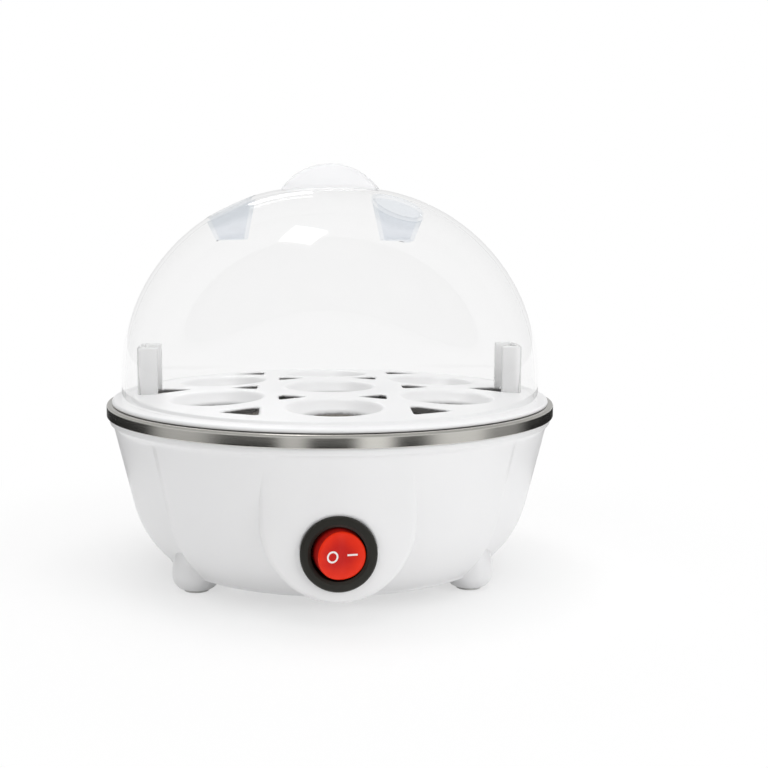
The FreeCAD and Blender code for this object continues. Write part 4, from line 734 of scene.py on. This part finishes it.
def makeRocker():
    # rings from the middle to the round outline, over a round edge, out to a shoulder and back along the sides
    r = rocker
    angles = ringAngles(144)
    cosA, sinA = np.cos(angles), np.sin(angles)
    roll = np.radians(np.linspace(0, 90, 7))
    inset = r["round"] - r["edge"]
    rings = [(share * inset, 0.0) for share in np.linspace(0.02, 1, 14)]
    rings += [(inset + r["edge"] * math.sin(turn), r["edge"] * (1 - math.cos(turn))) for turn in roll[1:]]
    grid = []
    for radius, drop in rings[::-1]:
        x = radius * cosA
        grid.append(np.stack([x, rockerFace(x) + drop, radius * sinA - r["drop"]], axis=-1))
    sides = [np.stack([r["shoulder"] * cosA, 0 * angles + depth, r["shoulder"] * sinA], axis=-1)
             for depth in (r["back"], r["shoulderBack"])]
    middle = np.stack([0 * angles, rockerFace(0 * angles), 0 * angles - r["drop"]], axis=-1)
    points = tipped(np.array([*sides, *grid, middle]))[:, ::-1]
    surfaceObject("rocker_key", [(points[2:], True, False)], "rocker", "red_plastic", ["rocker"])
    surfaceObject("rocker_sides", [(points[:3], True, False)], "rocker", "red_plastic", finish="shaded_red")
    # marks: a ring on the left half and an upright-ended bar on the right half, lifted just off the face
    around = ringAngles(48)
    width = np.array([-0.5, 0.5]) * r["markWidth"]
    ringX = r["ringPlace"][0] + (r["markRing"] + width[:, None]) * np.cos(around)
    ringZ = r["ringPlace"][1] + (r["markRing"] + width[:, None]) * np.sin(around)
    ring = np.stack([ringX, rockerFace(ringX) - r["markLift"], ringZ], axis=-1)
    barX, barZ = np.meshgrid(r["barPlace"][0] + np.linspace(-0.5, 0.5, 8) * r["markBar"], r["barPlace"][1] + width)
    barZ = barZ + r["barTilt"] * (barX - r["barPlace"][0])
    bar = np.stack([barX, rockerFace(barX) - r["markLift"], barZ], axis=-1)
    surfaceObject("rocker_marks", [(tipped(ring)[:, ::-1], True, False), (tipped(bar), False, False)], "rocker",
                  "white_plastic", finish="mark_paint")


makeHousing()
makeDish()
makeDome()
makeKnob()
makeTray()
makeRocker()
print("pieces done")


# stage: pale floor, soft light and the camera

stage = {
    "aim": (0, 0, 0.07), "floorRadius": 3.0, "floorColor": "#F6F6F6", "nearFloor": 0.06, "farFloor": 0.2,
    "floorLift": 0.6,
    "worldLight": 0.40, "worldGloss": 0.55,
    "lamps": {  # place, width, power, seen in gloss
        "overhead": ((0.1, 0.0, 1.4), (1.3, 1.3), 10.5, False),
        "right": ((1.0, -0.8, 0.6), (0.7, 0.7), 5.5, False),
        "left": ((-0.9, -0.9, 0.5), (0.8, 0.8), 2.0, False),
        "window": ((-0.17, 0.13, 1.12), (0.24, 0.26), 0.8, True),
        "streak": ((-0.14, 1.02, 0.69), (0.24, 0.09), 0.4, True),
    },
    "ringRadius": 0.15, "ringTop": 0.047, "ringDark": 0.02,
    "ringStrips": (  # turn, width, light
        (-61, 16, 0.5), (-15, 5.5, 0.62), (14, 7, 0.95), (47, 13, 0.8), (70, 14, 0.3), (180, 40, 0.9),
    ),
}


def stageObject(name, points):
    # mesh over a grid that closes on itself across, with points in metres
    mesh = bpy.data.meshes.new(name)
    mesh.from_pydata(points.reshape(-1, 3), [], gridQuads(points, True, False))
    mesh.shade_smooth()
    item = bpy.data.objects.new(name, mesh)
    bpy.context.scene.collection.objects.link(item)
    return item


def makeFloor():
    # flat disc: radius from 0 to its edge, angle all round
    radius = np.linspace(0, stage["floorRadius"], 12)[:, None]
    angle = ringAngles(64)[None, :]
    points = np.stack([radius * np.cos(angle), radius * np.sin(angle), 0 * radius * angle], axis=-1)
    floor = stageObject("floor", points)
    material, tree, shader, coords = newMaterial("pale studio floor", {"Roughness": 0.9, "Specular IOR Level": 0.0})
    shader.inputs["Base Color"].default_value = linearColor(stage["floorColor"])
    path = addNode(tree, "ShaderNodeLightPath")
    white = addNode(tree, "ShaderNodeEmission", {"Strength": 1.0})
    distance = addNode(tree, "ShaderNodeVectorMath", {"operation": "LENGTH"}, at0=coords)
    far = addNode(tree, "ShaderNodeMapRange", {
        "From Min": stage["nearFloor"], "From Max": stage["farFloor"], "interpolation_type": "SMOOTHSTEP",
    }, Value=distance.outputs["Value"])
    seen = addNode(tree, "ShaderNodeMath", {"operation": "MAXIMUM"}, at0=path.outputs["Is Camera Ray"],
                   at1=path.outputs["Is Glossy Ray"])
    seenAny = addNode(tree, "ShaderNodeMath", {"operation": "MAXIMUM"}, at0=seen.outputs[0],
                      at1=path.outputs["Is Transmission Ray"])
    lifted = addNode(tree, "ShaderNodeMapRange", {"To Min": stage["floorLift"]}, Value=far.outputs["Result"])
    share = addNode(tree, "ShaderNodeMath", {"operation": "MULTIPLY"}, at0=seenAny.outputs[0],
                    at1=lifted.outputs["Result"])
    mix = addNode(tree, "ShaderNodeMixShader", None, at0=share.outputs[0], at1=shader.outputs["BSDF"],
                  at2=white.outputs["Emission"])
    tree.links.new(mix.outputs["Shader"], tree.nodes["Material Output"].inputs["Surface"])
    floor.data.materials.append(material)


def makeStripRing():
    # low ring round the object that only gloss sees: soft bright strips between dark flags, one bell curve each
    angles = ringAngles(240)
    levels = np.linspace(0, stage["ringTop"], 4)[:, None]
    reach = stage["ringRadius"]
    flat = 0 * levels
    points = np.stack([reach * np.sin(angles) + flat, flat - reach * np.cos(angles), levels + 0 * angles], axis=-1)
    item = stageObject("strip_ring", points)
    light = np.full(len(angles), stage["ringDark"])
    for turn, width, strength in stage["ringStrips"]:
        apart = (np.degrees(angles) - turn + 180) % 360 - 180
        light = light + strength * np.exp(-(apart / width) ** 4)
    glow = item.data.attributes.new("glow", "FLOAT", "POINT")
    glow.data.foreach_set("value", np.tile(light, len(levels)).astype(np.float32))
    material, tree, shader, coords = newMaterial("strip light cloth", {"Base Color": (0, 0, 0, 1), "Roughness": 1.0})
    reading = addNode(tree, "ShaderNodeAttribute", {"attribute_name": "glow"})
    shine = addNode(tree, "ShaderNodeEmission", None, Strength=reading.outputs["Fac"])
    tree.links.new(shine.outputs["Emission"], tree.nodes["Material Output"].inputs["Surface"])
    item.data.materials.append(material)
    for ray in ("camera", "diffuse", "transmission", "volume_scatter", "shadow"):
        setattr(item, "visible_" + ray, False)


def addLamp(name, place, size, power, glossy):
    # soft box that faces the object
    lamp = bpy.data.lights.new(name, "AREA")
    lamp.shape = "RECTANGLE"
    lamp.size, lamp.size_y = size
    lamp.energy = power
    item = bpy.data.objects.new(name, lamp)
    item.location = place
    toObject = np.array(stage["aim"]) - np.array(place)
    yaw = math.atan2(toObject[1], toObject[0]) - math.pi / 2
    pitch = math.acos(-toObject[2] / np.linalg.norm(toObject))
    item.rotation_euler = (pitch, 0, yaw)
    item.visible_glossy = glossy
    item.visible_transmission = glossy
    bpy.context.scene.collection.objects.link(item)


def makeWorld():
    # white where the camera or clear plastic looks past the object, plain grey light elsewhere
    world = bpy.data.worlds.new("studio")
    world.use_nodes = True
    bpy.context.scene.world = world
    tree = world.node_tree
    path = addNode(tree, "ShaderNodeLightPath")
    seen = addNode(tree, "ShaderNodeMath", {"operation": "MAXIMUM"}, at0=path.outputs["Is Camera Ray"],
                   at1=path.outputs["Is Transmission Ray"])
    plain = addNode(tree, "ShaderNodeMapRange", {"To Min": stage["worldLight"], "To Max": stage["worldGloss"]},
                    Value=path.outputs["Is Glossy Ray"])
    strength = addNode(tree, "ShaderNodeMapRange", {"To Max": 1.0}, Value=seen.outputs[0],
                       To_Min=plain.outputs["Result"])
    tree.links.new(strength.outputs["Result"], tree.nodes["Background"].inputs["Strength"])
    tree.nodes["Background"].inputs["Color"].default_value = (1, 1, 1, 1)


# camera fitted to the rim, dome and switch of the photograph (768 pixels square)
cameraView = {
    "distance": 419.3 * mm, "height": 116.65 * mm, "azimuth": -2.1, "pitch": 7.33,
    "focalPixels": 1241.2, "axisPixel": 329.8, "imageSize": 768, "sensor": 36.0,
}


def makeCamera():
    camera = bpy.data.cameras.new("photo camera")
    camera.sensor_width = cameraView["sensor"]
    camera.lens = cameraView["sensor"] * cameraView["focalPixels"] / cameraView["imageSize"]
    camera.shift_x = 0.5 - cameraView["axisPixel"] / cameraView["imageSize"]
    camera.clip_start = 0.01
    item = bpy.data.objects.new("photo camera", camera)
    azimuth = math.radians(cameraView["azimuth"])
    item.location = (cameraView["distance"] * math.sin(azimuth), -cameraView["distance"] * math.cos(azimuth),
                     cameraView["height"])
    item.rotation_euler = (math.radians(90 - cameraView["pitch"]), 0, azimuth)
    bpy.context.scene.collection.objects.link(item)
    bpy.context.scene.camera = item


makeFloor()
makeWorld()
makeStripRing()
for lampName, lampValues in stage["lamps"].items():
    addLamp(lampName + " soft box", *lampValues)
makeCamera()
bpy.context.scene.view_settings.view_transform = "Standard"
print("stage done")
